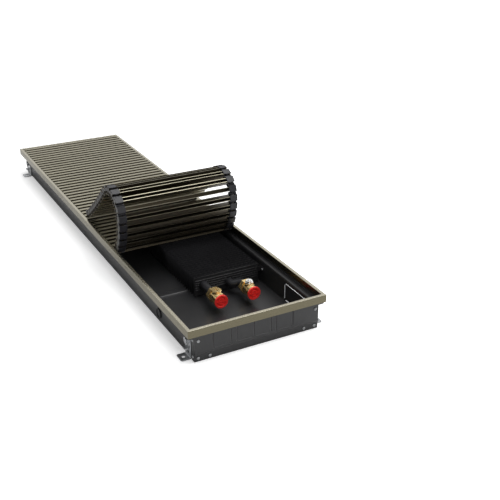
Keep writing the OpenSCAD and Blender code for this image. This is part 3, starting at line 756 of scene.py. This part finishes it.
class HEATER_OT_trim_frame(Operator):
    """Trim frame: four mitred bars of anodised profile"""
    bl_idname = "heater.trim_frame"
    bl_label = "Trim frame"

    def execute(self, context):
        lengthwise = frame_anodised("x", tones().frame_bar, ALONG_X)
        crosswise = frame_anodised("y", tones().frame_bar, ALONG_Y)
        bars = [self.bar(END, HALF_W, place, lengthwise) for place in BOTH_SIDES]
        quarter = Matrix.Rotation(-math.pi / 2, 4, "Z")
        bars += [self.bar(HALF_W, END, place @ quarter, crosswise) for place in BOTH_ENDS]
        trim = merge(bars, "trim_frame")
        finish(smooth(trim, 30), None, "unit", "frame_bars")
        return {"FINISHED"}

    def bar(self, half, across, place, material):
        """A bar along X, cut to a mitre at both ends, put in its place."""
        outer, inner = mm(13.5, 11)
        path = [(across, TOP - outer), (across, TOP), (across - LIP, TOP), (across - LIP, TOP - inner)]
        bar = aim(bent(path, -half, half, "X", "bar"), (0, 1, 0))
        round_edges(bar, lambda a, b: along_x(a, b) and a.z > TOP - MM, sizes().frame_edge, 3)
        thicken(bar, sizes().frame_wall)
        for side in (-1, 1):
            open_all(bar)
            bpy.ops.mesh.bisect(plane_co=((half - FIT) * side, across, 0),
                                plane_no=(side, -1, 0), clear_outer=True, use_fill=True)
            close(bar)
        # The lip's upward faces get the paler copy of the bronze as a painted highlight; the other faces
        # keep the darker frame colour.
        paint(bar, material, frame_anodised("lip", tones().frame_top_highlight), lambda at, normal:
              normal.z > 0.6 and at.z > TOP - MM / 2)
        twin = copy_to(bar, place, "bar")
        bpy.data.objects.remove(bar)
        return twin


def make_slat():
    """A slat at the chain's origin, with its closed side up."""
    half, low = SLAT_HALF_W, HINGE_DROP - SLAT_H
    path = [(-half, low), (-half, HINGE_DROP), (half, HINGE_DROP), (half, low)]
    slat = aim(bent(path, -SLAT_HALF, SLAT_HALF, "Y", "slat"), (-1, 0, 0))
    round_edges(slat, lambda a, b: along_y(a, b) and a.z > 0, sizes().slat_edge, 2)
    thicken(slat, sizes().slat_wall)
    # The sides and inside take the darker copy as painted shade; the top faces and the legs' lower ends
    # keep the lit bronze.
    return paint(slat, slat_painted_shade(), slat_anodised(), lambda at, normal:
                 (normal.z > 0.3 and at.z > HINGE_DROP - MM)
                 or (normal.z < -0.9 and at.z < low + 0.1 * MM))


def barrel(x, start, size, name):
    """A barrel of a chain hinge along Y, with softened ends."""
    return turned(mirrored(size, profile((0, 3), (0.4, 3.4))), (x, start, 0), "Y", 12, name)


def make_link(knuckle=True, fork=True):
    """A chain link at the same origin: floor, plug, a knuckle behind, and a fork with its pin ahead."""
    low = HINGE_DROP - SLAT_H - LINK_FLOOR
    floor_half, plug_half, plug_top, bury, pin_r = mm(6, 2.9, 2, 0.5, 1.3)
    knuckle_half, fork_start, web_near, web_far = mm(3.2, 3.5, 4.1, 6.6)
    web_low, hinge = low + bury, PITCH / 2
    floor = add_box((-floor_half, -LINK_HALF, low), (floor_half, LINK_HALF, low + LINK_FLOOR))
    parts = [soften(floor, sizes().link_edge, 1),
             add_box((-plug_half, -LINK_HALF, low + 0.7 * MM), (plug_half, LINK_HALF, plug_top))]
    if knuckle:
        parts.append(add_box((-web_far, -knuckle_half, web_low), (-web_near, knuckle_half, 0)))
        parts.append(barrel(-hinge, -knuckle_half, 2 * knuckle_half, "knuckle"))
    if fork:
        arm = LINK_HALF - fork_start
        for start in (-LINK_HALF, fork_start):
            parts.append(add_box((web_near, start, web_low), (web_far, start + arm, 0)))
            parts.append(barrel(hinge, start, arm, "fork"))
        parts.append(turned([(0, pin_r), (2 * fork_start, pin_r)], (hinge, -fork_start, 0), "Y", 8, "pin"))
    link = merge(parts, "link")
    pair = spread(link, [moved(y=y) for y in (-LINK_Y, LINK_Y)], "link_pair")
    return smooth(pair, 40)


class HEATER_OT_laid_grille(Operator):
    """Laid part of the grille: forty slats and their chain links"""
    bl_idname = "heater.laid_grille"
    bl_label = "Laid grille"

    def execute(self, context):
        places = [moved(ROW_START + i * PITCH, 0, HINGE_Z) for i in range(LAID)]
        slats = smooth(spread(make_slat(), places, "laid_grille_slats"), 30)
        finish(slats, None, "unit", "laid_slats")
        first = spread(make_link(knuckle=False), places[:1], "first_link")
        rest = spread(make_link(), places[1:], "more_links")
        links = merge([rest, first], "laid_grille_links")
        finish(links, link_plastic(), "unit", "laid_links")
        return {"FINISHED"}


def roll_places():
    """Where each slat of the roll lies at rest, from the record's hinges."""
    behaviour = frame["record"]["behaviour"]
    hinges = [row for row in behaviour["joints"] if row["name"].startswith("roll_hinge_")]
    hinges.sort(key=lambda row: row["name"])
    at = [Vector(row["pos_m"]) for row in hinges]
    ratios = {row["joint"]: row["ratio"] for row in behaviour["couplings"]}
    turns = [at[i + 1] - at[i] for i in range(len(at) - 1)]
    heads = [math.atan2(turn.z, turn.x) for turn in turns]
    lead = heads[0]
    heads.append(heads[-1] + ratios[hinges[-1]["name"]] * lead)
    places = {}
    for row, hinge, head in zip(hinges, at, heads):
        middle = hinge + Vector((math.cos(head), 0, math.sin(head))) * PITCH / 2
        places[row["child"]] = moved(*middle) @ Matrix.Rotation(-head, 4, "Y")
    return places


class HEATER_OT_rolled_grille(Operator):
    """Rolled part of the grille: each slat and its links on the chain's own bodies"""
    bl_idname = "heater.rolled_grille"
    bl_label = "Rolled grille"

    def execute(self, context):
        places = roll_places()
        slat, link, last = make_slat(), make_link(), make_link(fork=False)
        smooth(slat, 30)
        bodies = sorted(places)
        for body in bodies:
            number = body.split("_")[1]
            piece = copy_to(slat, places[body], "grille_slat_" + number)
            finish(piece, None, body, "roll_slat_" + number)
            source = last if body == bodies[-1] else link
            piece = copy_to(source, places[body], "grille_links_" + number)
            finish(piece, link_plastic(), body, "roll_links_" + number)
        for done in (slat, link, last):
            bpy.data.objects.remove(done)
        return {"FINISHED"}


class HEATER_OT_fins(Operator):
    """Fins of the exchanger, each pressed into waves"""
    bl_idname = "heater.fins"
    bl_label = "Fins"

    def execute(self, context):
        half, middle = (FIN_Y1 - FIN_Y0) / 2, (FIN_Y0 + FIN_Y1) / 2
        count = max(2, round(4 * half / sizes().fin_wave_length))
        take()
        bpy.ops.mesh.primitive_grid_add(x_subdivisions=1, y_subdivisions=count, size=1)
        fin = context.object
        fin.scale = (FIN_HIGH - FIN_LOW, 2 * half, 1)
        fin.rotation_euler = (0, math.pi / 2, 0)
        fin.location = (0, middle, (FIN_LOW + FIN_HIGH) / 2)
        settle(fin, "fin")
        step = 2 * half / count
        for odd, by in ((0, sizes().fin_wave / 2), (1, -sizes().fin_wave / 2)):
            shift(fin, lambda co: round((co.y - middle + half) / step) % 2 == odd, (by, 0, 0))
        modify(fin, "SOLIDIFY", thickness=sizes().fin, offset=0)
        cut(fin, *tube_holes(-5 * MM, 10 * MM, 20))
        first = FIN_START - SHEET - FIN_PITCH / 2 - 0.2 * MM
        places = [moved(first - FIN_PITCH * i) for i in range(FINS)]
        pack = spread(fin, places, "fins")
        finish(pack, fin_coating(), "unit", "fin_pack")
        return {"FINISHED"}


class HEATER_OT_end_sheets(Operator):
    """End sheets of the exchanger with pressed ribs and ears"""
    bl_idname = "heater.end_sheets"
    bl_label = "End sheets"

    def execute(self, context):
        inner, wall_face = FIN_START - SHEET, WALL - SHEET
        ear_low, ear_high, ear_x0, ear_x1 = mm(24.4, 33.4, 282.2, 314.9)
        sheet = add_box((inner, FIN_Y0, FIN_LOW), (FIN_START, FIN_Y1, FIN_HIGH), "end_sheet")
        strip = add_box((inner, FIN_Y1 - MM, ear_low),
                        (FIN_START, wall_face - SHEET + SEAT, ear_high))
        ear = add_box((ear_x0, wall_face - SHEET, ear_low), (ear_x1, wall_face, ear_high))
        round_edges(ear, lambda a, b: abs(a.y - b.y) > MM / 2, 2 * MM, 3)
        rib_pitch, rib_inset = mm(4.5, 1.8)
        rib_z, rib_l = FIN_LOW + RIB_SHARE * (FIN_HIGH - FIN_LOW), FIN_Y1 - FIN_Y0 - 2 * rib_inset
        rib = mirrored(rib_l, profile((0, 0.3), (0.5, 0.75), (1.2, 0.9)))
        ribs = [turned(rib, (FIN_START, FIN_Y0 + rib_inset, rib_z + rib_pitch * i), "Y", 12, "rib")
                for i in range(-2, 3)]
        for part in [sheet] + ribs:
            cut(part, *tube_holes(FIN_START - 4 * MM, 8 * MM, 32))
        front = merge([soften(sheet, 0.2 * MM, 1, 60), strip, ear] + ribs, "end_sheet")
        back = moved(FIN_START + FIN_END) @ BOTH_ENDS[1]
        sheets = spread(front, [Matrix(), back], "fin_end_sheets")
        finish(smooth(sheets, 40), powder_coat(), "unit", "end_sheets")
        return {"FINISHED"}


class HEATER_OT_rails(Operator):
    """Rails on the floor that carry the fins"""
    bl_idname = "heater.rails"
    bl_label = "Rails"

    def execute(self, context):
        foot, crown, wall, bend, inset, reach = mm(8, 6.6, 0.9, 0.6, 36, 54)
        path = [(-foot, SHEET), (-crown, FIN_LOW), (crown, FIN_LOW), (foot, SHEET)]
        rail = aim(bent(path, FIN_Y0 - reach, FIN_Y1, "Y", "rail"), (-1, 0, 0))
        round_edges(rail, lambda a, b: along_y(a, b) and a.z > FIN_LOW - MM, bend, 2)
        thicken(rail, wall)
        first, last = FIN_START - inset, FIN_END + inset
        rails = spread(rail, [moved(x) for x in (first, (first + last) / 2, last)], "fin_rails")
        finish(smooth(rails), powder_coat(), "unit", "rails")
        return {"FINISHED"}


class HEATER_OT_tubes(Operator):
    """Water tubes: one bent run from the flow connector to the return connector"""
    bl_idname = "heater.tubes"
    bl_label = "Tubes"

    def execute(self, context):
        rib, socket, step_start, bend = 0.9 * MM, 12 * MM, FIN_START + TUBE_R, 14 * MM
        bend_x = FIN_END - rib - socket - SEAT
        take()
        bpy.ops.mesh.primitive_circle_add(vertices=28, radius=TUBE_R, location=(NUT, FLOW_Y, FLOW_Z),
                                          rotation=(0, math.pi / 2, 0))
        run = settle(context.object, "water_tubes")
        open_all(run, "EDGE")
        draw_out(bend_x - NUT, 0, 0)
        middle = Vector((bend_x, (FLOW_Y + RETURN_Y) / 2, (FLOW_Z + RETURN_Z) / 2))
        aside = Vector((0, RETURN_Y - FLOW_Y, RETURN_Z - FLOW_Z)).normalized()
        self.turn(math.pi, middle, aside.cross(Vector((1, 0, 0))), 24)
        draw_out(step_start - bend_x, 0, 0)
        aside = Vector((0, RETURN_OUT_Y - RETURN_Y, FLOW_Z - RETURN_Z))
        step = aside.length
        aside.normalize()
        angle = math.acos(1 - step / (2 * bend))
        start = Vector((step_start, RETURN_Y, RETURN_Z))
        axis = Vector((1, 0, 0)).cross(aside)
        self.turn(angle, start + aside * bend, axis, 10)
        stop = Vector((step_start + 2 * bend * math.sin(angle), RETURN_OUT_Y, FLOW_Z))
        self.turn(-angle, stop - aside * bend, axis, 10)
        draw_out(NUT - stop.x, 0, 0)
        bpy.ops.mesh.select_all(action="SELECT")
        bpy.ops.mesh.normals_make_consistent(inside=False)
        thicken(close(run), MM)
        rings = mirrored(socket, profile((0, 7.5), (0.3, 8.3), (1, 8.55)))
        sockets = [turned(rings, (bend_x, y, z), "X", 28, "socket")
                   for y, z in ((FLOW_Y, FLOW_Z), (RETURN_Y, RETURN_Z))]
        tubes = merge([run] + sockets, "water_tubes")
        finish(smooth(tubes, 50), tube_paint(), "unit", "tubes")
        return {"FINISHED"}

    def turn(self, angle, centre, axis, steps):
        """Draws the open end round an axis by the right-hand rule, which spin runs against."""
        bpy.ops.mesh.spin(steps=steps, angle=-angle, center=centre, axis=axis.normalized(), dupli=False)


def hexagon(at, radius, height, axis, name="hexagon"):
    """A hexagon with chamfered corners, from a point along an axis."""
    nut = turned([(0, radius), (height, radius)], at, axis, 6, name)
    lean, past, clear = radius * 0.07, 0.1 * MM, 0.02 * MM
    rings = mirrored(height, [(-past, radius - 2 * lean), (lean * 0.6, radius + clear)])
    return cut(nut, turned(rings, at, axis, 48, "chamfer"), operation="INTERSECT")


class HEATER_OT_connectors(Operator):
    """Brass connectors with nut, body, mouth and boss"""
    bl_idname = "heater.connectors"
    bl_label = "Connectors"

    def execute(self, context):
        connector = self.connector()
        pair = spread(connector, [moved(0, y, FLOW_Z) for y in (FLOW_Y, RETURN_OUT_Y)],
                      "brass_connectors")
        finish(smooth(pair, 35), brass(), "unit", "connectors")
        return {"FINISHED"}

    def connector(self):
        """A connector on the X axis: nut, body with its bore and mouth, and boss."""
        at = (CONNECTOR, 0, 0)
        nut = hexagon(at, 14 * MM, NUT_L, "X", "nut")
        tube, bore, mouth, waist, collar, end = 7.5, 6.5, 9.32, 11, 12, 32
        body = turned(profile(
            (0, tube), (0, 11.4), (0.6, collar), (4.4, collar), (5, waist), (22.2, waist), (22.8, 11.6),
            (23, collar), (24, collar), (24.3, 11.7), (24.8, 11.7), (25.1, collar), (31.4, collar),
            (end, 11.4), (end, 9.7), (31.6, mouth), (22.5, mouth), (22.5, bore), (0.1, bore),
            (0, tube)), at, "X", 48, "body", through=True)
        boss = turned(profile((0, 7.6), (3, 8), (12, 8), (12.5, 7.5), (12.5, 4.9), (6.6, 4.9)),
                      (BOSS, 0, 0), "Z", 36, "boss")
        cut(nut, rod((NUT - 6 * MM, 0, 0), TUBE_R + 0.1 * MM, 20 * MM, "X", 36))
        return merge([nut, body, boss], "connector")


class HEATER_OT_fittings(Operator):
    """Blank plug, air vent and its spindle"""
    bl_idname = "heater.fittings"
    bl_label = "Plug and air vent"

    def execute(self, context):
        at = (BOSS, FLOW_Y, BOSS_TOP)
        plug = turned(profile((-5.7, 4.8), (0.3, 4.8), (0.3, 8.1), (0.7, 8.5), (1.6, 8.5), (2, 8.1)),
                      at, "Z", 40, "blank_plug_brass")
        self.slot(plug, at, mm(-4.2, -0.9, 0.9), mm(4.2, 0.9, 3))
        finish(smooth(plug, 35), brass(), "unit", "blank_plug")

        at = (BOSS, RETURN_OUT_Y, BOSS_TOP)
        base = hexagon(at, 8 * MM, 2.5 * MM, "Z", "vent_hexagon")
        top = turned(profile((-5.7, 4.8), (0.2, 4.8), (0.2, 5.9), (2.7, 6.2), (4.5, 6.2), (5, 5.7),
                             (5, 3), (4.7, 2.4), (1.3, 2.4)), at, "Z", 40, "vent_top")
        vent = smooth(merge([base, top], "air_vent"), 35)
        finish(vent, nickel(), "unit", "vent_body")

        spindle = turned(profile((1.4, 2.15), (6.2, 2.2), (6.6, 1.8)), at, "Z", 24, "spindle")
        self.slot(spindle, at, mm(-3, -0.45, 5.8), mm(3, 0.45, 8))
        spindle.name = "air_vent_spindle"
        finish(smooth(spindle, 35), nickel(), "vent_spindle", "vent_spindle")
        return {"FINISHED"}

    def slot(self, piece, at, low, high):
        """Cuts a screwdriver's slot across a piece, from corner to corner as seen from a point."""
        cutter = add_box(low, high)
        cutter.matrix_world = moved(*at)
        cut(piece, settle(cutter))


class HEATER_OT_caps(Operator):
    """Red protective caps with a ring groove, a grip bar and a hollow spigot"""
    bl_idname = "heater.caps"
    bl_label = "Red caps"

    def execute(self, context):
        disc_r, spigot_r, spigot_end, rim = 12.5, 9.27, -11.2, 0.3
        rings = profile((-3, 7.5), (spigot_end, 7.7), (spigot_end, 9), (-10.8, spigot_r),
                        (-3, spigot_r), (-3, disc_r - rim), (-2.7, disc_r), (-0.4, disc_r), (0, 12.1),
                        (0, 9.3), (-0.3, 9), (-1.5, 8.9), (-1.5, 5.9), (-0.2, 5.75), (0, 5.5),
                        (0, 4.2), (-1, 4))
        for y, node in ((FLOW_Y, "cap_flow"), (RETURN_OUT_Y, "cap_return")):
            cap = turned(rings, (CAP, y, FLOW_Z), "X", 48, "cap")
            bar = soften(add_box(mm(-1.6, -8.9, -1.3), mm(-0.1, 8.9, 1.3)), rim * MM, 2)
            bar.matrix_world = moved(CAP, y, FLOW_Z)
            piece = smooth(merge([cap, settle(bar)], "red_" + node), 35)
            finish(piece, cap_plastic(), node, node)
        return {"FINISHED"}


class HEATER_OT_brackets(Operator):
    """Foot brackets: bent zinc sheet with a slot, an ear and a floor hole"""
    bl_idname = "heater.brackets"
    bl_label = "Foot brackets"

    def execute(self, context):
        wall, half = sizes().bracket, 10.5 * MM
        face, top, reach = WALL + wall, 43.5 * MM, WALL + 18.3 * MM
        sheet = aim(bent([(reach, wall), (face, wall), (face, top)], BRACKET - half, BRACKET + half, "X",
                         "bracket"), (0, 0, 1))
        foot_bend, foot_round, top_round = mm(1.2, 2.5, 2)
        round_edges(sheet, lambda a, b: along_x(a, b) and near(a.y, face) and a.z < 5 * MM, foot_bend, 3)
        thicken(sheet, wall)
        round_edges(sheet, lambda a, b: min(a.y, b.y) > reach - 0.3 * MM and abs(a.z - b.z) > MM,
                    foot_round, 3)
        round_edges(sheet, lambda a, b: min(a.z, b.z) > top - MM / 2 and abs(a.y - b.y) > MM,
                    top_round, 3)
        start, depth, slot_r, slot_low, slot_high, hole_z = mm(110, 8, 3.2, 27.22, 34.82, 9)
        holes = [rod((BRACKET, start, z), slot_r, depth, "Y", 24) for z in (slot_low, slot_high)]
        holes.append(add_box((BRACKET - slot_r, start, slot_low),
                             (BRACKET + slot_r, start + depth, slot_high)))
        holes.append(rod((BRACKET, start, hole_z), slot_r, depth, "Y", 24))
        holes.append(rod((BRACKET, 122.85 * MM, -MM), 3.25 * MM, 5 * MM, "Z", 24))
        cut(sheet, *holes)
        ear_z, ear_reach, ear_half = mm(18, 8, 5.5)
        ear = aim(bent([(face - MM, ear_z), (face + ear_reach, ear_z)], BRACKET - ear_half,
                       BRACKET + ear_half, "X", "ear"), (0, 0, 1))
        thicken(ear, wall)
        round_edges(ear, lambda a, b: min(a.y, b.y) > face + ear_reach - MM and abs(a.z - b.z) > MM,
                    top_round, 3)
        bracket = soften(merge([sheet, ear], "bracket"), 0.2 * MM, 1, 60)
        brackets = spread(bracket, MIRRORS, "foot_brackets_zinc")
        finish(smooth(brackets, 35), zinc_plate(), "unit", "foot_brackets")
        return {"FINISHED"}


def make_sheet_screw():
    """A sheet screw with a domed head, its seat at the origin and its head along Z."""
    head = 1.7
    screw = turned(profile((-5, 0.4), (-4.2, 1.5), (0, 1.5), (0, 2.5), (0.3, 2.6), (0.8, 2.4),
                           (1.3, 1.9), (1.6, 1.2), (head, 0.5)), (0, 0, 0), "Z", 20, "screw")
    return smooth(cross_recess(screw, mm(0, 0, head), "Z"), 40)


class HEATER_OT_screws(Operator):
    """Sheet screws with cross recesses, and bracket bolts with washers"""
    bl_idname = "heater.screws"
    bl_label = "Screws and bolts"

    def execute(self, context):
        screw = make_sheet_screw()
        corner_y, band_y, low, high = mm(107.15, 86.85, 6, 38.25)
        places = []
        for mirror in MIRRORS:
            for at in ((PLATE, corner_y, high), (BAND, corner_y, low), (BAND, band_y, low)):
                places.append(mirror @ moved(*at) @ TURNS["X"])
            for z in (7.9 * MM, high):
                places.append(mirror @ moved(489.6 * MM, WALL + SHEET, z) @ TURNS["Y"])
        for x in mm(309.8, 285.1, -443.8, -419.1):
            places.append(moved(x, WALL - 2 * SHEET, 28.9 * MM) @ TURNS["-Y"])
        screws = spread(screw, places, "screws")
        seat, washer_t = WALL + sizes().bracket, 1.2 * MM
        rings = mirrored(washer_t, profile((0, 3.1), (0, 6.3), (0.2, 6.5)))
        washer = turned(rings + rings[:1], (BRACKET, seat, BOLT_Z), "Y", 28, "washer", through=True)
        head = hexagon((BRACKET, seat + washer_t, BOLT_Z), 5.8 * MM, 4 * MM, "Y", "bolt_head")
        shank = turned(profile((-7.2, 2.6), (-6.8, 3), (1.5, 3)), (BRACKET, seat, BOLT_Z), "Y", 20,
                       "shank")
        bolts = spread(smooth(merge([head, washer, shank], "bolt"), 35), MIRRORS, "bolts")
        fixings = merge([screws, bolts], "screws_and_bolts")
        finish(fixings, zinc_plate(), "unit", "screws")
        return {"FINISHED"}


class HEATER_OT_wall_plug(Operator):
    """Rubber plug in the left wall"""
    bl_idname = "heater.wall_plug"
    bl_label = "Wall plug"

    def execute(self, context):
        plug = turned(profile((-3.6, 6.6), (-3.4, 7.6), (-1.2, 8), (-1.2, 7.15), (0, 7.15), (0, 8.6),
                              (0.4, 9.2), (1.4, 9.2), (2.2, 8.4), (2.4, 7.2), (1.2, 6.8), (1.1, 5.2),
                              (1.5, 4.6), (1.7, 2)), WALL_PLUG, "-Y", 40, "wall_plug")
        finish(smooth(plug, 35), plug_rubber(), "unit", "rubber_plug")
        return {"FINISHED"}


class HEATER_OT_stage(Operator):
    """Pale floor, soft lights, white surroundings and the camera"""
    bl_idname = "heater.stage"
    bl_label = "Stage"

    def execute(self, context):
        settings = context.scene.heater_stage
        take()
        bpy.ops.mesh.primitive_plane_add(size=16, location=(-1, 0, -0.3 * MM))
        floor = settle(context.object, "floor")
        floor.data.materials.append(self.paper())
        context.scene.world = self.room(settings.sky, settings.back_sky)

        self.lamp("key_light", settings.key_power, (0.3, 0.5, 2.4), (0, 0, 0), 2.2)
        self.lamp("front_light", settings.front_power, (2.0, -0.1, 0.9), (0.3, 0, 0), 0.7)
        self.lamp("side_light", settings.side_power, (0.6, 2.4, 1.3), (0, 0, 0.05), 1.6)

        camera = bpy.data.cameras.new("camera")
        camera.lens = settings.lens
        camera.sensor_width = 36
        camera.clip_end = 50
        holder = bpy.data.objects.new("camera", camera)
        context.scene.collection.objects.link(holder)
        turn, dip = math.radians(151.616), math.radians(25.29)
        look = Vector((math.cos(dip) * math.cos(turn), math.cos(dip) * math.sin(turn),
                       -math.sin(dip)))
        holder.location = (1.50976, -0.56352, 0.71845)
        holder.rotation_euler = look.to_track_quat("-Z", "Y").to_euler()
        context.scene.camera = holder
        context.scene.view_settings.view_transform = "Standard"
        return {"FINISHED"}

    def paper(self):
        """A pale floor that shows shadows near the unit and fades to white far from it."""
        material = bpy.data.materials.new("pale_floor")
        add = node_adder(material)
        ray = add("ShaderNodeLightPath")
        place = add("ShaderNodeTexCoord")
        far = add("ShaderNodeVectorMath", {0: place.outputs["Object"]}, operation="LENGTH")
        fade = add("ShaderNodeMapRange", {"Value": far.outputs["Value"], "From Min": 0.9,
                                          "From Max": 2.4, "To Min": 0.42, "To Max": 1.0})
        lift = add("ShaderNodeMath", {0: ray.outputs["Is Camera Ray"], 1: fade.outputs["Result"]},
                   operation="MULTIPLY")
        glow = add("ShaderNodeEmission", {"Strength": lift.outputs["Value"]})
        pale = add("ShaderNodeBsdfDiffuse", {"Color": (0.86, 0.86, 0.86, 1)})
        both = add("ShaderNodeAddShader", {0: pale.outputs["BSDF"], 1: glow.outputs["Emission"]})
        add("ShaderNodeOutputMaterial", {"Surface": both.outputs["Shader"]})
        return material

    def room(self, sky, back_sky):
        """A world that the camera sees white, and that lights most from behind the unit."""
        world = bpy.data.worlds.new("white_room")
        add = node_adder(world)
        ray = add("ShaderNodeLightPath")
        place = add("ShaderNodeTexCoord")
        toward = add("ShaderNodeVectorMath", {0: place.outputs["Generated"], 1: (-0.8, 0.43, 0.42)},
                     operation="DOT_PRODUCT")
        glow = add("ShaderNodeMapRange", {"Value": toward.outputs["Value"], "From Min": 0.1,
                                          "From Max": 1.0, "To Min": sky, "To Max": back_sky})
        light = add("ShaderNodeBackground", {"Strength": glow.outputs["Result"]})
        white = add("ShaderNodeBackground", {"Color": (1, 1, 1, 1)})
        seen = add("ShaderNodeMath", {0: ray.outputs["Is Camera Ray"],
                                      1: ray.outputs["Is Transmission Ray"]}, operation="MAXIMUM")
        mix = add("ShaderNodeMixShader", {"Fac": seen.outputs["Value"], 1: light.outputs["Background"],
                                          2: white.outputs["Background"]})
        add("ShaderNodeOutputWorld", {"Surface": mix.outputs["Shader"]})
        return world

    def lamp(self, name, power, at, towards, size):
        """A round area light that points from one place towards another."""
        take()
        bpy.ops.object.light_add(type="AREA", location=at)
        lamp = bpy.context.object
        lamp.name = name
        lamp.data.shape = "DISK"
        lamp.data.size = size
        lamp.data.energy = power
        beam = Vector(towards) - Vector(at)
        lamp.rotation_euler = beam.to_track_quat("-Z", "Y").to_euler()


PIECES = [HEATER_OT_casing, HEATER_OT_end_plates, HEATER_OT_trim_frame, HEATER_OT_laid_grille,
          HEATER_OT_rolled_grille, HEATER_OT_fins, HEATER_OT_end_sheets, HEATER_OT_rails,
          HEATER_OT_tubes, HEATER_OT_connectors, HEATER_OT_fittings, HEATER_OT_caps,
          HEATER_OT_brackets, HEATER_OT_screws, HEATER_OT_wall_plug]


class HEATER_PT_panel(Panel):
    """Lists the operators and the sizes"""
    bl_label = "Trench heater"
    bl_idname = "HEATER_PT_panel"
    bl_space_type = "VIEW_3D"
    bl_region_type = "UI"
    bl_category = "Heater"

    def draw(self, context):
        scene = context.scene
        for kind in PIECES:
            self.layout.operator(kind.bl_idname)
        self.layout.operator(HEATER_OT_stage.bl_idname)
        for group in (scene.heater_sizes, scene.heater_colours, scene.heater_stage):
            box = self.layout.box()
            for name in group.__annotations__:
                box.prop(group, name)


CLASSES = [HeaterSizes, HeaterColours, HeaterStage, HEATER_OT_stage, *PIECES, HEATER_PT_panel]


def register():
    for kind in CLASSES:
        bpy.utils.register_class(kind)
    bpy.types.Scene.heater_sizes = PointerProperty(type=HeaterSizes)
    bpy.types.Scene.heater_colours = PointerProperty(type=HeaterColours)
    bpy.types.Scene.heater_stage = PointerProperty(type=HeaterStage)


def unregister():
    del bpy.types.Scene.heater_stage
    del bpy.types.Scene.heater_colours
    del bpy.types.Scene.heater_sizes
    for kind in reversed(CLASSES):
        bpy.utils.unregister_class(kind)


def main():
    register()
    bpy.ops.heater.stage()
    bpy.ops.heater.casing()
    bpy.ops.heater.end_plates()
    bpy.ops.heater.trim_frame()
    bpy.ops.heater.laid_grille()
    bpy.ops.heater.rolled_grille()
    bpy.ops.heater.fins()
    bpy.ops.heater.end_sheets()
    bpy.ops.heater.rails()
    bpy.ops.heater.tubes()
    bpy.ops.heater.connectors()
    bpy.ops.heater.fittings()
    bpy.ops.heater.caps()
    bpy.ops.heater.brackets()
    bpy.ops.heater.screws()
    bpy.ops.heater.wall_plug()
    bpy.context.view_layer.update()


if __name__ == "__main__":
    main()
